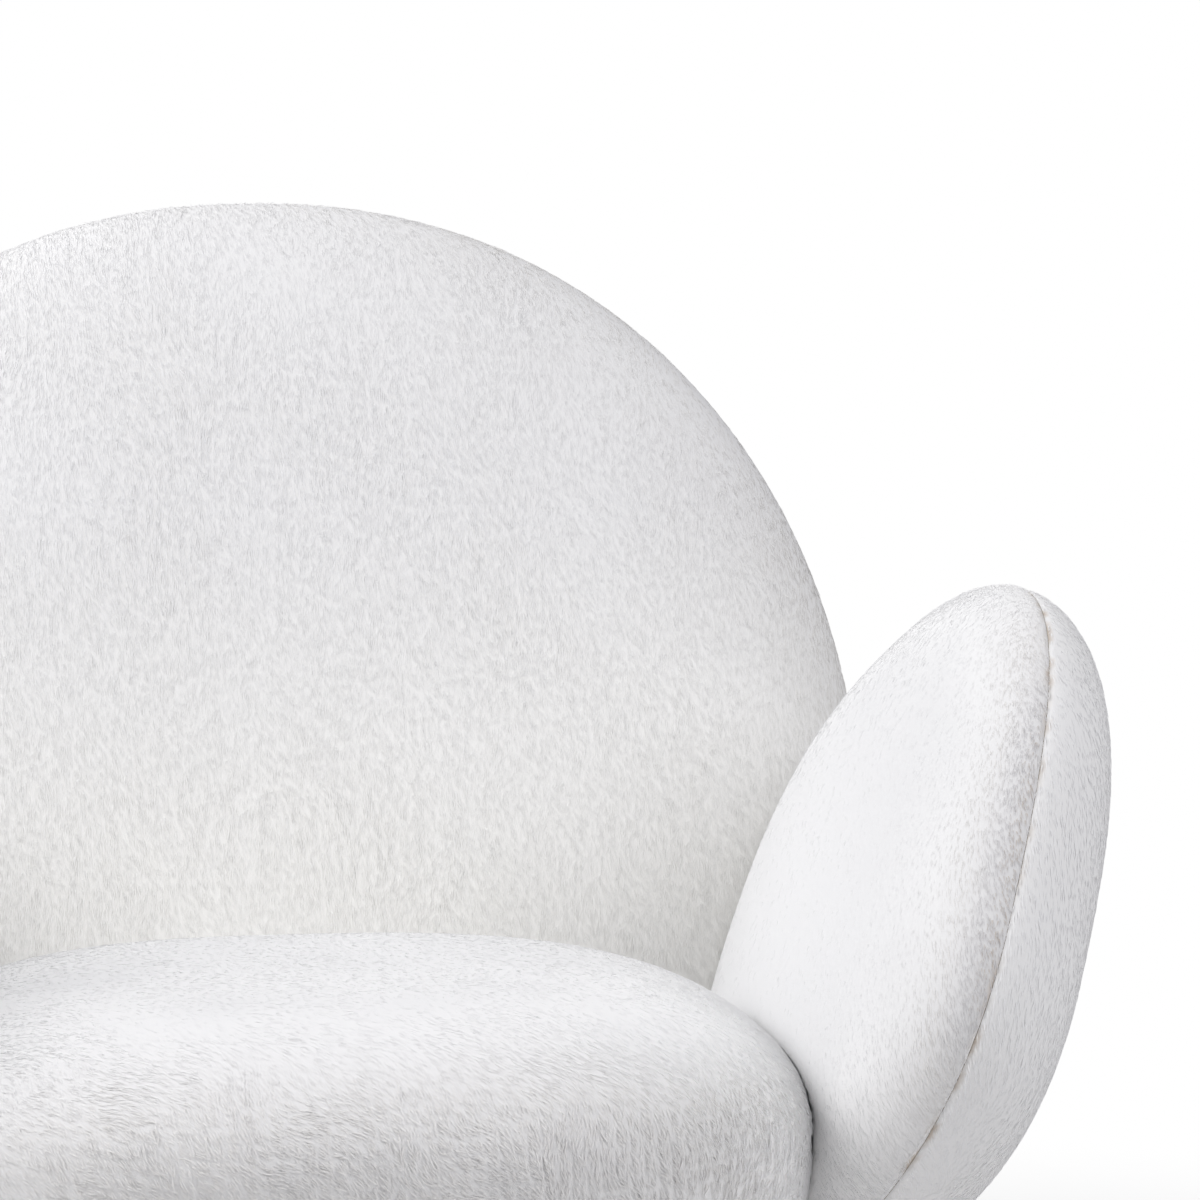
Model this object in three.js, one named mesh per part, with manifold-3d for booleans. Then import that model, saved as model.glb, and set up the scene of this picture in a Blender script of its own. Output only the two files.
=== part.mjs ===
// A lounge chair upholstered all over in short plush: a round reclined back, two leaning petal arms
// and a thick crowned seat on a hidden wooden frame with zigzag springs and four tapered legs.
// Millimetres, +Z up. The sitter faces -Y, and left and right are the sitter's own.
import * as THREE from 'three';
import { mergeVertices } from 'three/addons/utils/BufferGeometryUtils.js';
import Module from 'manifold-3d';

const wasm = await Module();
wasm.setup();

// Clearances
const gap = 0.3; // between faces that touch
const dentGap = 0.4; // between a pad and the pad that presses a dent into it
const overrun = 5; // how far a cutter runs past the face that it cuts

// Seat cushion: one lens, crowned above and fuller below
const seatHalfWidth = 234;
const seatFront = 223;
const seatRear = 260;
const seatCrown = 74;
const seatDepth = 125;
const seatCrownPower = 3.6;
const seatDepthPower = 7;
const seatOutlinePower = 2.7;
const seatTilt = THREE.MathUtils.degToRad(2.1); // the front stands higher
const seatRise = 96.6; // from the underside of the frame to the widest part of the cushion
const seatHem = 2.4; // how far the cushion's underside lies below the frame

// Back: two pads on a board
const backHalfWidth = 324;
const backUp = 352;
const backDown = 218;
const backFrontDome = 61;
const backRearDome = 60;
const backDomePower = 3.4;
const backOutlinePower = 2.15;
const backRecline = THREE.MathUtils.degToRad(17.3);
const backStandoff = 53; // from the seat cushion's rear edge to the back's seam
const backRise = 85; // from the seat's widest part to the back's centre
const backBoardInset = 34;

// Arms: two pads on a board, leaning out, with the front raised
const armFront = 241.9;
const armRear = 231.5;
const armUp = 223.5;
const armDown = 131.6;
const armInnerDome = 54;
const armOuterDome = 68.5;
const armDomePower = 4.1;
const armOutlinePower = 2.5;
const armLean = THREE.MathUtils.degToRad(18.5);
const armRoll = THREE.MathUtils.degToRad(25.5);
const armStandoff = 41.4; // from the seat cushion's side to the arm's seam, at the arm's centre
const armSetBack = 53; // from the seat's centre to the arm's centre
const armRise = 24.7; // from the seat's widest part to the arm's centre
const armBoardInset = 26;

// Boards and seat frame
const boardThickness = 15;
const frameSideInset = 86; // from the cushion's outline to the rails
const frameFrontInset = 103;
const frameRearInset = 100;
const railThickness = 22;
const railHeight = 41;
const cornerBlockLeg = 62;
const cornerBlockTip = 8;
const ringInset = 36;
const ringThickness = 18;
const ringCornerRadius = 40;
const backClearance = 12; // between the back pad and the ring or an arm's board

// Blocks that carry the arms and the back
const blockHeight = 34;
const armBlockLength = 84;
const armBlockSetBack = 108; // from the seat's centre to the block's middle
const armBoltSpacing = 40;
const armBoltOffset = 20; // from the rail to the bolts
const backBlockLength = 60;
const backBlockSpacing = 150;
const backBoltOffset = 26;

// Zigzag springs, their clip bars, the felt on them and the cover below
const springPlaceShares = [-1.5, -0.5, 0.5, 1.5]; // shares of the spacing, from the middle
const springLoopShare = 1 / 3; // half a loop's width, as a share of the spacing
const springSideRoom = 36; // from the rails' inner faces to the outer springs' middle lines
const springPitch = 40;
const springWire = 3.8;
const springArch = 9;
const springOverlap = 14; // how far a spring reaches over the ring's edge
const clipThickness = 1.5;
const clipLip = 9;
const clipBase = 20;
const feltThickness = 3;
const feltMargin = 8;
const coverThickness = 1;

// Legs, plates, glides and fasteners
const legHeight = 249;
const legTopRadius = 22;
const legFootRadius = 12.5;
const legShoulder = 5;
const legInset = 12; // from the rails' inner faces to the leg's axis
const frontSplay = THREE.MathUtils.degToRad(10);
const frontRake = THREE.MathUtils.degToRad(8);
const rearSplay = THREE.MathUtils.degToRad(8);
const rearRake = THREE.MathUtils.degToRad(22);
const plateSide = 56;
const plateThickness = 2.5;
const glideHeight = 6;
const glideRadius = 11;
const glideEdge = 1.5;
const hangerRadius = 4;
const hangerLength = 68;
const hangerInLeg = 32;
const boltRadius = 4;
const boltLength = 38;
const boltHeadRadius = 6.5;
const boltHeadHeight = 8;
const socketRadius = 3.4;
const socketDepth = 4;
const insertRadius = 6;
const insertLength = 13;

// Faceting
const outlineSteps = 44;
const domeRings = 8;
const boardSteps = 40;
const cornerSteps = 6;
const springLoopSteps = 8;
const springSides = 5;
const feltSteps = 12;
const legSides = 20;
const legRings = 5;
const smallSides = 12;

// Places worked out from the sizes above
const legTop = glideHeight + gap + legHeight;
const frameBottom = legTop + gap + plateThickness + gap;
const railTop = frameBottom + railHeight;
const ringBottom = railTop + gap;
const ringTop = ringBottom + ringThickness;
const seatLevel = frameBottom + seatRise;
const railOuterX = seatHalfWidth - frameSideInset;
const railInnerX = railOuterX - railThickness;
const railFrontY = -(seatFront - frameFrontInset);
const railRearY = seatRear - frameRearInset;
const openingFrontY = railFrontY + railThickness;
const openingRearY = railRearY - railThickness;
const blockTop = ringBottom - gap;
const blockBottom = blockTop - blockHeight;
const springSpacing = (railInnerX - springSideRoom) / springPlaceShares.at(-1);
const springAmplitude = springSpacing * springLoopShare;
const springLevel = ringTop + gap + clipThickness + gap + springWire / 2;
const feltBottom = springLevel + springWire / 2 + gap;
const pocketTop = feltBottom + springArch + feltThickness + gap;

const seatOval = {
  left: seatHalfWidth, right: seatHalfWidth, top: seatFront, bottom: seatRear, power: seatOutlinePower,
};
const backOval = {
  left: backHalfWidth, right: backHalfWidth, top: backUp, bottom: backDown, power: backOutlinePower,
};
const armOval = {
  left: armRear, right: armFront, top: armUp, bottom: armDown, power: armOutlinePower,
};
const flat = { rise: 0 };
const seatCrownSide = { rise: seatCrown, power: seatCrownPower };
const seatLowerSide = { rise: seatDepth, power: seatDepthPower };
const backFrontSide = { rise: backFrontDome, power: backDomePower };
const backRearSide = { rise: backRearDome, power: backDomePower };
const armInnerSide = { rise: armInnerDome, power: armDomePower };
const armOuterSide = { rise: armOuterDome, power: armDomePower };

// Frames: the first axis runs along an oval's width, the second along its height and the third is
// the side that its first dome swells to.
function frameOf(width, height, normal, centre) {
  return new THREE.Matrix4().makeBasis(width, height, normal).setPosition(centre);
}

const seatFrame = frameOf(
  new THREE.Vector3(-1, 0, 0),
  new THREE.Vector3(0, -Math.cos(seatTilt), Math.sin(seatTilt)),
  new THREE.Vector3(0, Math.sin(seatTilt), Math.cos(seatTilt)),
  new THREE.Vector3(0, 0, seatLevel),
);
const backCentre = new THREE.Vector3(0, seatRear + backStandoff, seatLevel + backRise);
const backFrame = frameOf(
  new THREE.Vector3(1, 0, 0),
  new THREE.Vector3(0, Math.sin(backRecline), Math.cos(backRecline)),
  new THREE.Vector3(0, -Math.cos(backRecline), Math.sin(backRecline)),
  backCentre,
);
const armCentre = new THREE.Vector3(seatHalfWidth + armStandoff, armSetBack, seatLevel + armRise);
const armForward = new THREE.Vector3(
  Math.sin(armRoll) * Math.sin(armLean), -Math.cos(armRoll), Math.sin(armRoll) * Math.cos(armLean),
);
const armUpward = new THREE.Vector3(
  Math.cos(armRoll) * Math.sin(armLean), Math.sin(armRoll), Math.cos(armRoll) * Math.cos(armLean),
);
const armInward = new THREE.Vector3(-Math.cos(armLean), 0, Math.sin(armLean));
const armFrame = frameOf(armForward, armUpward, armInward, armCentre);

// Solids
function solidOf(geometry) {
  const bare = geometry.clone();
  bare.deleteAttribute('normal');
  bare.deleteAttribute('uv');
  const merged = mergeVertices(bare);
  return new wasm.Manifold(new wasm.Mesh({
    numProp: 3,
    vertProperties: new Float32Array(merged.attributes.position.array),
    triVerts: new Uint32Array(merged.index.array),
  }));
}

function geometryOf(solid) {
  const mesh = solid.getMesh();
  const geometry = new THREE.BufferGeometry();
  geometry.setAttribute('position', new THREE.BufferAttribute(mesh.vertProperties, mesh.numProp));
  geometry.setIndex(new THREE.BufferAttribute(mesh.triVerts, 1));
  geometry.computeVertexNormals();
  return geometry;
}

// Cuts tools out of a body and keeps its largest piece, so no splinter of foam is left behind.
function cut(geometry, ...tools) {
  let solid = solidOf(geometry);
  for (const tool of tools) solid = solid.subtract(solidOf(tool));
  const pieces = solid.decompose().sort((a, b) => b.volume() - a.volume());
  return geometryOf(pieces[0]);
}

// The same shape on the other side of the chair, with its faces turned out again
function mirrored(geometry) {
  const copy = geometry.clone().applyMatrix4(new THREE.Matrix4().makeScale(-1, 1, 1));
  const index = copy.index.array.slice();
  for (let i = 0; i < index.length; i += 3) [index[i], index[i + 1]] = [index[i + 1], index[i]];
  copy.setIndex(new THREE.BufferAttribute(index, 1));
  copy.computeVertexNormals();
  return copy;
}

function boxBetween(low, high) {
  const size = high.clone().sub(low);
  const middle = low.clone().add(high).multiplyScalar(0.5);
  return new THREE.BoxGeometry(size.x, size.y, size.z).translate(middle.x, middle.y, middle.z);
}

function uprightCylinder(radius, bottom, top, x, y, sides = smallSides) {
  const height = top - bottom;
  return new THREE.CylinderGeometry(radius, radius, height, sides)
    .rotateX(Math.PI / 2)
    .translate(x, y, bottom + height / 2);
}

// An oval with four half axes and one power, from 2 for an ellipse towards a rectangle
function ovalPoint(oval, grow, turn) {
  const c = Math.cos(turn);
  const s = Math.sin(turn);
  const width = (c > 0 ? oval.right : oval.left) + grow;
  const height = (s > 0 ? oval.top : oval.bottom) + grow;
  return new THREE.Vector2(
    width * Math.sign(c) * Math.abs(c) ** (2 / oval.power),
    height * Math.sign(s) * Math.abs(s) ** (2 / oval.power),
  );
}

// A cushion's lens: rings of the oval, each shrunk by s and raised by rise * sqrt(1 - s ^ power),
// so that the pad is full in the middle and rolls over at its seam. A side may be flat.
function lensGeometry(oval, above, below, grow = 0) {
  const side = (dome, sign) => Array.from({ length: domeRings }, (_, ring) => {
    const share = Math.sin((ring / domeRings) * (Math.PI / 2));
    return { share, level: sign * (dome.rise + grow) * Math.sqrt(1 - share ** dome.power) };
  });
  const pole = [{ share: 0, level: 0 }];
  const profile = [
    ...(above.rise ? side(above, 1) : pole),
    { share: 1, level: 0 },
    ...(below.rise ? side(below, -1).reverse() : pole),
  ];
  const points = [];
  const faces = [];
  const last = profile.length - 1;
  const at = (ring, step) => {
    if (ring === 0) return 0;
    if (ring === last) return 1;
    return 2 + (ring - 1) * outlineSteps + (step % outlineSteps);
  };
  points.push(0, 0, profile[0].level, 0, 0, profile[last].level);
  for (const { share, level } of profile.slice(1, last)) {
    for (let step = 0; step < outlineSteps; step += 1) {
      const edge = ovalPoint(oval, grow, (step / outlineSteps) * 2 * Math.PI);
      points.push(edge.x * share, edge.y * share, level);
    }
  }
  for (let ring = 0; ring < last; ring += 1) {
    for (let step = 0; step < outlineSteps; step += 1) {
      if (ring + 1 < last) faces.push(at(ring, step), at(ring + 1, step), at(ring + 1, step + 1));
      if (ring > 0) faces.push(at(ring, step), at(ring + 1, step + 1), at(ring, step + 1));
    }
  }
  const geometry = new THREE.BufferGeometry();
  geometry.setAttribute('position', new THREE.Float32BufferAttribute(points, 3));
  geometry.setIndex(faces);
  geometry.computeVertexNormals();
  return geometry;
}

// A board of an oval outline, from one level to another along the oval's normal
function boardGeometry(oval, grow, bottom, top, holes = []) {
  const points = Array.from({ length: boardSteps }, (_, step) => (
    ovalPoint(oval, grow, (step / boardSteps) * 2 * Math.PI)
  ));
  const shape = new THREE.Shape(points);
  shape.holes.push(...holes);
  const settings = { depth: top - bottom, bevelEnabled: false, curveSegments: cornerSteps };
  return new THREE.ExtrudeGeometry(shape, settings).translate(0, 0, bottom);
}

const backLens = (grow) => lensGeometry(backOval, backFrontSide, backRearSide, grow).applyMatrix4(backFrame);
const seatLens = (grow) => (
  lensGeometry(seatOval, seatCrownSide, seatLowerSide, grow).applyMatrix4(seatFrame)
);

// Blocks: a bar that leaves the rail square and ends on a leaning board. Its section lies in the
// plane of "out" and "up", and it is as long as its bar along the rail.
const armBlock = {
  rail: railOuterX,
  boardOut: armCentre.x,
  boardUp: armCentre.z,
  lean: armLean,
  length: armBlockLength,
  bolts: [-armBoltSpacing / 2, armBoltSpacing / 2].map((along) => [railOuterX + armBoltOffset, along]),
};
const backBlock = {
  rail: railRearY,
  boardOut: backCentre.y,
  boardUp: backCentre.z,
  lean: backRecline,
  length: backBlockLength,
  bolts: [[railRearY + backBoltOffset, 0]],
};

function blockBar(block, grow, reach, bottom = blockBottom - grow) {
  const top = blockTop + grow;
  const face = boardThickness + gap - reach;
  const outAt = (up) => (
    block.boardOut + ((up - block.boardUp) * Math.sin(block.lean) - face) / Math.cos(block.lean)
  );
  const near = block.rail + gap - grow;
  const shape = new THREE.Shape([
    new THREE.Vector2(near, bottom),
    new THREE.Vector2(outAt(bottom), bottom),
    new THREE.Vector2(outAt(top), top),
    new THREE.Vector2(near, top),
  ]);
  const depth = block.length + 2 * grow;
  return new THREE.ExtrudeGeometry(shape, { depth, bevelEnabled: false })
    .rotateX(Math.PI / 2)
    .translate(0, depth / 2, 0);
}

function blockGeometry(block) {
  const holes = block.bolts.flatMap(([out, along]) => [
    uprightCylinder(boltRadius + gap, blockBottom - overrun, blockTop + overrun, out, along),
    uprightCylinder(
      boltHeadRadius + gap, blockBottom - overrun, blockBottom + boltHeadHeight + gap, out, along,
    ),
  ]);
  return cut(blockBar(block, 0, 0), ...holes);
}

// Where each block stands: turned about +Z from "out" along +X, then moved along the rail
const blockPlaces = {
  arm_left_block: { block: armBlock, turn: 0, x: 0, y: armBlockSetBack },
  arm_right_block: { block: armBlock, turn: Math.PI, x: 0, y: armBlockSetBack },
  back_left_block: { block: backBlock, turn: Math.PI / 2, x: backBlockSpacing / 2, y: 0 },
  back_right_block: { block: backBlock, turn: Math.PI / 2, x: -backBlockSpacing / 2, y: 0 },
};

function placed(geometry, place) {
  return geometry.rotateZ(place.turn).translate(place.x, place.y, 0);
}

// Upholstery
function ringOpening() {
  const [left, right, front, rear] = [-railInnerX, railInnerX, openingFrontY, openingRearY];
  const r = ringCornerRadius;
  const hole = new THREE.Path();
  hole.absarc(right - r, rear - r, r, 0, Math.PI / 2);
  hole.absarc(left + r, rear - r, r, Math.PI / 2, Math.PI);
  hole.absarc(left + r, front + r, r, Math.PI, 1.5 * Math.PI);
  hole.absarc(right - r, front + r, r, 1.5 * Math.PI, 2 * Math.PI);
  return hole;
}

// The ring lies level, so its oval has the front towards -Y.
const ringOval = { ...seatOval, top: seatRear, bottom: seatFront };

function seatPad() {
  const far = seatHalfWidth + seatRear;
  const hem = boxBetween(
    new THREE.Vector3(-far, -far, seatLevel - seatDepth - overrun),
    new THREE.Vector3(far, far, frameBottom - seatHem),
  );
  const railPocket = boxBetween(
    new THREE.Vector3(-railOuterX - gap, railFrontY - gap, frameBottom - seatHem - overrun),
    new THREE.Vector3(railOuterX + gap, railRearY + gap, ringBottom + overrun),
  );
  const springPocket = boxBetween(
    new THREE.Vector3(-railInnerX, openingFrontY - springOverlap - clipBase, ringBottom),
    new THREE.Vector3(railInnerX, openingRearY + springOverlap + clipBase, pocketTop),
  );
  const ringPocket = cut(
    boardGeometry(ringOval, gap - ringInset, ringBottom - gap, ringTop + gap),
    backLens(backClearance - gap),
  );
  const notches = Object.values(blockPlaces).map((place) => (
    placed(blockBar(place.block, gap, 0, frameBottom - seatHem - overrun), place)
  ));
  return cut(
    seatLens(0), hem, railPocket, ringPocket, springPocket, ...notches, backLens(dentGap),
  );
}

function backFrontPad() {
  const pocket = boardGeometry(backOval, gap - backBoardInset, -overrun, boardThickness + gap)
    .applyMatrix4(backFrame);
  const windows = ['back_left_block', 'back_right_block'].map((name) => (
    placed(blockBar(backBlock, gap, overrun), blockPlaces[name])
  ));
  return cut(lensGeometry(backOval, backFrontSide, flat).applyMatrix4(backFrame), pocket, ...windows);
}

function backRearPad() {
  return lensGeometry(backOval, flat, backRearSide).translate(0, 0, -gap).applyMatrix4(backFrame);
}

function armInnerPad() {
  const pocket = boardGeometry(armOval, gap - armBoardInset, -overrun, boardThickness + gap)
    .applyMatrix4(armFrame);
  const window = placed(blockBar(armBlock, gap, overrun), blockPlaces.arm_left_block);
  const pad = lensGeometry(armOval, armInnerSide, flat).applyMatrix4(armFrame);
  return cut(pad, pocket, window, seatLens(dentGap), backLens(dentGap));
}

function armOuterPad() {
  const pad = lensGeometry(armOval, flat, armOuterSide).translate(0, 0, -gap).applyMatrix4(armFrame);
  return cut(pad, seatLens(dentGap), backLens(dentGap));
}

// Boards and the seat frame
function backBoard() {
  return boardGeometry(backOval, -backBoardInset, 0, boardThickness).applyMatrix4(backFrame);
}

function armBoard() {
  const board = boardGeometry(armOval, -armBoardInset, 0, boardThickness).applyMatrix4(armFrame);
  return cut(board, backLens(backClearance));
}

function seatRing() {
  const ring = boardGeometry(ringOval, -ringInset, ringBottom, ringTop, [ringOpening()]);
  const bores = boltPlaces().map(({ x, y }) => (
    uprightCylinder(insertRadius + gap, ringBottom - overrun, ringBottom + insertLength + 2 * gap, x, y)
  ));
  return cut(ring, backLens(backClearance), ...bores);
}

function sideRail(side) {
  return boxBetween(
    new THREE.Vector3(side > 0 ? railInnerX : -railOuterX, railFrontY, frameBottom),
    new THREE.Vector3(side > 0 ? railOuterX : -railInnerX, railRearY, railTop),
  );
}

function crossRail(front) {
  return boxBetween(
    new THREE.Vector3(-railInnerX + gap, front, frameBottom),
    new THREE.Vector3(railInnerX - gap, front + railThickness, railTop),
  );
}

// A glue block in one inner corner of the frame, bored for the leg's bolt
function cornerBlock(leg) {
  const x = leg.side * (railInnerX - gap);
  const y = leg.end > 0 ? openingRearY - gap : openingFrontY + gap;
  const inX = -leg.side;
  const inY = -leg.end;
  const corners = [
    [0, 0], [cornerBlockLeg, 0], [cornerBlockLeg, cornerBlockTip], [cornerBlockTip, cornerBlockLeg],
    [0, cornerBlockLeg],
  ].map(([along, across]) => new THREE.Vector2(x + inX * along, y + inY * across));
  if (inX * inY < 0) corners.reverse();
  const settings = { depth: railHeight, bevelEnabled: false };
  const block = new THREE.ExtrudeGeometry(new THREE.Shape(corners), settings)
    .translate(0, 0, frameBottom);
  const bore = uprightCylinder(
    hangerRadius + gap, frameBottom - overrun, railTop + overrun, leg.x, leg.y,
  );
  return cut(block, bore);
}

// Springs
class ZigzagCurve extends THREE.Curve {
  constructor(x, from, to) {
    super();
    Object.assign(this, { x, from, to });
    this.loops = Math.round((to - from) / springPitch);
  }

  getPoint(t, target = new THREE.Vector3()) {
    return target.set(
      this.x + springAmplitude * Math.sin(2 * Math.PI * this.loops * t),
      this.from + (this.to - this.from) * t,
      springLevel + springArch * Math.sin(Math.PI * t) ** 2,
    );
  }
}

const springFromY = openingFrontY - springOverlap;
const springToY = openingRearY + springOverlap;

function zigzagSpring(x) {
  const path = new ZigzagCurve(x, springFromY, springToY);
  const section = new THREE.Shape(Array.from({ length: springSides }, (_, side) => {
    const turn = (side / springSides) * 2 * Math.PI;
    return new THREE.Vector2(Math.cos(turn), Math.sin(turn)).multiplyScalar(springWire / 2);
  }));
  return new THREE.ExtrudeGeometry(section, {
    steps: path.loops * springLoopSteps, extrudePath: path, bevelEnabled: false,
  });
}

// A strip bent over the springs' ends like a flat hook, open towards the middle of the seat
function clipBar() {
  const mouth = springWire + 2 * gap;
  const lipTop = clipThickness + mouth + clipThickness;
  const profile = new THREE.Shape([
    new THREE.Vector2(-clipThickness, 0),
    new THREE.Vector2(clipBase, 0),
    new THREE.Vector2(clipBase, clipThickness),
    new THREE.Vector2(0, clipThickness),
    new THREE.Vector2(0, clipThickness + mouth),
    new THREE.Vector2(clipLip, clipThickness + mouth),
    new THREE.Vector2(clipLip, lipTop),
    new THREE.Vector2(-clipThickness, lipTop),
  ]);
  const depth = 2 * (railInnerX - feltMargin);
  return new THREE.ExtrudeGeometry(profile, { depth, bevelEnabled: false })
    .rotateX(Math.PI / 2)
    .rotateZ(Math.PI / 2)
    .translate(-depth / 2, 0, 0);
}

// The felt follows the springs' arch between the two clip bars.
function springFelt() {
  const from = springFromY + clipLip + 2 * gap;
  const to = springToY - clipLip - 2 * gap;
  const arch = Array.from({ length: feltSteps + 1 }, (_, step) => {
    const y = from + ((to - from) * step) / feltSteps;
    const t = (y - springFromY) / (springToY - springFromY);
    return new THREE.Vector2(y, feltBottom + springArch * Math.sin(Math.PI * t) ** 2);
  });
  const over = arch.map((point) => new THREE.Vector2(point.x, point.y + feltThickness)).reverse();
  const depth = 2 * (railInnerX - feltMargin);
  return new THREE.ExtrudeGeometry(new THREE.Shape([...arch, ...over]), { depth, bevelEnabled: false })
    .rotateX(Math.PI / 2)
    .rotateZ(Math.PI / 2)
    .translate(-depth / 2, 0, 0);
}

function dustCover() {
  const sheet = boxBetween(
    new THREE.Vector3(-railOuterX, railFrontY, frameBottom - gap - coverThickness),
    new THREE.Vector3(railOuterX, railRearY, frameBottom - gap),
  );
  const reach = plateSide / 2 + gap;
  const corners = legs.map((leg) => boxBetween(
    new THREE.Vector3(
      Math.min(leg.x - leg.side * reach, leg.side * (railOuterX + overrun)),
      Math.min(leg.y - leg.end * reach, leg.end > 0 ? railRearY + overrun : railFrontY - overrun),
      frameBottom - gap - coverThickness - overrun,
    ),
    new THREE.Vector3(
      Math.max(leg.x - leg.side * reach, leg.side * (railOuterX + overrun)),
      Math.max(leg.y - leg.end * reach, leg.end > 0 ? railRearY + overrun : railFrontY - overrun),
      frameBottom,
    ),
  ));
  return cut(sheet, ...corners);
}

// Legs and their hardware
const legs = [['front', -1], ['rear', 1]].flatMap(([endName, end]) => (
  [['left', 1], ['right', -1]].map(([sideName, side]) => ({
    name: `${endName}_${sideName}`,
    side,
    end,
    x: side * (railInnerX - legInset),
    y: end > 0 ? openingRearY - legInset : openingFrontY + legInset,
    outSlope: side * Math.tan(end > 0 ? rearSplay : frontSplay),
    endSlope: end * Math.tan(end > 0 ? rearRake : frontRake),
  }))
));

// A round tapered leg with an eased shoulder, sheared so that its top and its foot both lie level
function legGeometry(leg) {
  const swell = (t) => legFootRadius + (legTopRadius - legFootRadius) * Math.sin((t * Math.PI) / 2);
  const side = Array.from({ length: legRings + 1 }, (_, ring) => {
    const t = ring / legRings;
    return new THREE.Vector2(swell(t), t * (legHeight - legShoulder));
  });
  const profile = [
    new THREE.Vector2(0, 0),
    ...side,
    new THREE.Vector2(legTopRadius - legShoulder / 2, legHeight),
    new THREE.Vector2(0, legHeight),
  ];
  const lean = new THREE.Matrix4().set(
    1, 0, -leg.outSlope, leg.outSlope * legHeight,
    0, 1, -leg.endSlope, leg.endSlope * legHeight,
    0, 0, 1, 0,
    0, 0, 0, 1,
  );
  const body = new THREE.LatheGeometry(profile, legSides).rotateX(Math.PI / 2).applyMatrix4(lean);
  const bore = uprightCylinder(hangerRadius + gap, legHeight - hangerInLeg - gap, legHeight + overrun, 0, 0);
  return cut(body, bore);
}

function plateGeometry() {
  const plate = new THREE.BoxGeometry(plateSide, plateSide, plateThickness);
  return cut(plate, uprightCylinder(hangerRadius + gap, -plateThickness, plateThickness, 0, 0));
}

function glideGeometry() {
  return new THREE.LatheGeometry([
    new THREE.Vector2(0, 0),
    new THREE.Vector2(glideRadius - glideEdge, 0),
    new THREE.Vector2(glideRadius, glideEdge),
    new THREE.Vector2(glideRadius, glideHeight),
    new THREE.Vector2(0, glideHeight),
  ], legSides).rotateX(Math.PI / 2);
}

// A socket head bolt that points up, with its head below the origin
function boltGeometry() {
  const profile = [
    new THREE.Vector2(0, socketDepth - boltHeadHeight),
    new THREE.Vector2(socketRadius, socketDepth - boltHeadHeight),
    new THREE.Vector2(socketRadius, -boltHeadHeight),
    new THREE.Vector2(boltHeadRadius, -boltHeadHeight),
    new THREE.Vector2(boltHeadRadius, 0),
    new THREE.Vector2(boltRadius, 0),
    new THREE.Vector2(boltRadius, boltLength),
    new THREE.Vector2(0, boltLength),
  ];
  return new THREE.LatheGeometry(profile, smallSides).rotateX(Math.PI / 2);
}

function insertGeometry() {
  const ring = uprightCylinder(insertRadius, 0, insertLength, 0, 0);
  return cut(ring, uprightCylinder(boltRadius + gap, -overrun, insertLength + overrun, 0, 0));
}

// Every bolt stands in its block and reaches up into the seat ring.
function boltPlaces() {
  return Object.entries(blockPlaces).flatMap(([blockName, place]) => (
    place.block.bolts.map(([out, along], number) => {
      const spot = new THREE.Vector3(out, along, 0).applyAxisAngle(new THREE.Vector3(0, 0, 1), place.turn);
      const suffix = place.block.bolts.length > 1 ? `_${number + 1}` : '';
      const stem = blockName.replace('_block', '');
      return {
        bolt: `${stem}_bolt${suffix}`,
        insert: `${stem}_insert${suffix}`,
        x: spot.x + place.x,
        y: spot.y + place.y,
      };
    })
  ));
}

// Finishes
const finishes = {
  plush: { color: 0xf1efea, roughness: 0.95, metalness: 0 },
  frameWood: { color: 0xcfb48a, roughness: 0.7, metalness: 0 },
  legWood: { color: 0xc8a578, roughness: 0.5, metalness: 0 },
  steel: { color: 0xa7abae, roughness: 0.35, metalness: 1 },
  springSteel: { color: 0x6f7275, roughness: 0.45, metalness: 1 },
  felt: { color: 0x8c8a86, roughness: 1, metalness: 0 },
  cover: { color: 0x232323, roughness: 0.95, metalness: 0 },
  glide: { color: 0xe4e1da, roughness: 0.55, metalness: 0 },
};

function piece(name, geometry, finish, x = 0, y = 0, z = 0) {
  const mesh = new THREE.Mesh(geometry, new THREE.MeshStandardMaterial(finish));
  mesh.name = name;
  mesh.position.set(x, y, z);
  return mesh;
}

// Assembly
function seatGroup() {
  const group = new THREE.Group();
  group.add(
    piece('seat_pad', seatPad(), finishes.plush),
    piece('seat_ring', seatRing(), finishes.frameWood),
    piece('seat_left_rail', sideRail(1), finishes.frameWood),
    piece('seat_right_rail', sideRail(-1), finishes.frameWood),
    piece('seat_front_rail', crossRail(railFrontY), finishes.frameWood),
    piece('seat_rear_rail', crossRail(railRearY - railThickness), finishes.frameWood),
    piece('spring_felt', springFelt(), finishes.felt),
    piece('dust_cover', dustCover(), finishes.cover),
  );
  springPlaceShares.forEach((share, number) => {
    group.add(piece(`spring_${number + 1}`, zigzagSpring(share * springSpacing), finishes.springSteel));
  });
  const clipLevel = ringTop + gap;
  const clipReach = springWire / 2 + gap;
  const frontClip = piece(
    'front_clip_bar', clipBar(), finishes.steel, 0, springFromY - clipReach, clipLevel,
  );
  const rearClip = piece(
    'rear_clip_bar', clipBar(), finishes.steel, 0, springToY + clipReach, clipLevel,
  );
  rearClip.rotation.z = Math.PI;
  group.add(frontClip, rearClip);
  for (const leg of legs) {
    group.add(piece(`${leg.name}_corner_block`, cornerBlock(leg), finishes.frameWood));
  }
  return group;
}

function backGroup() {
  const group = new THREE.Group();
  group.add(
    piece('back_front_pad', backFrontPad(), finishes.plush),
    piece('back_rear_pad', backRearPad(), finishes.plush),
    piece('back_board', backBoard(), finishes.frameWood),
  );
  return group;
}

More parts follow.
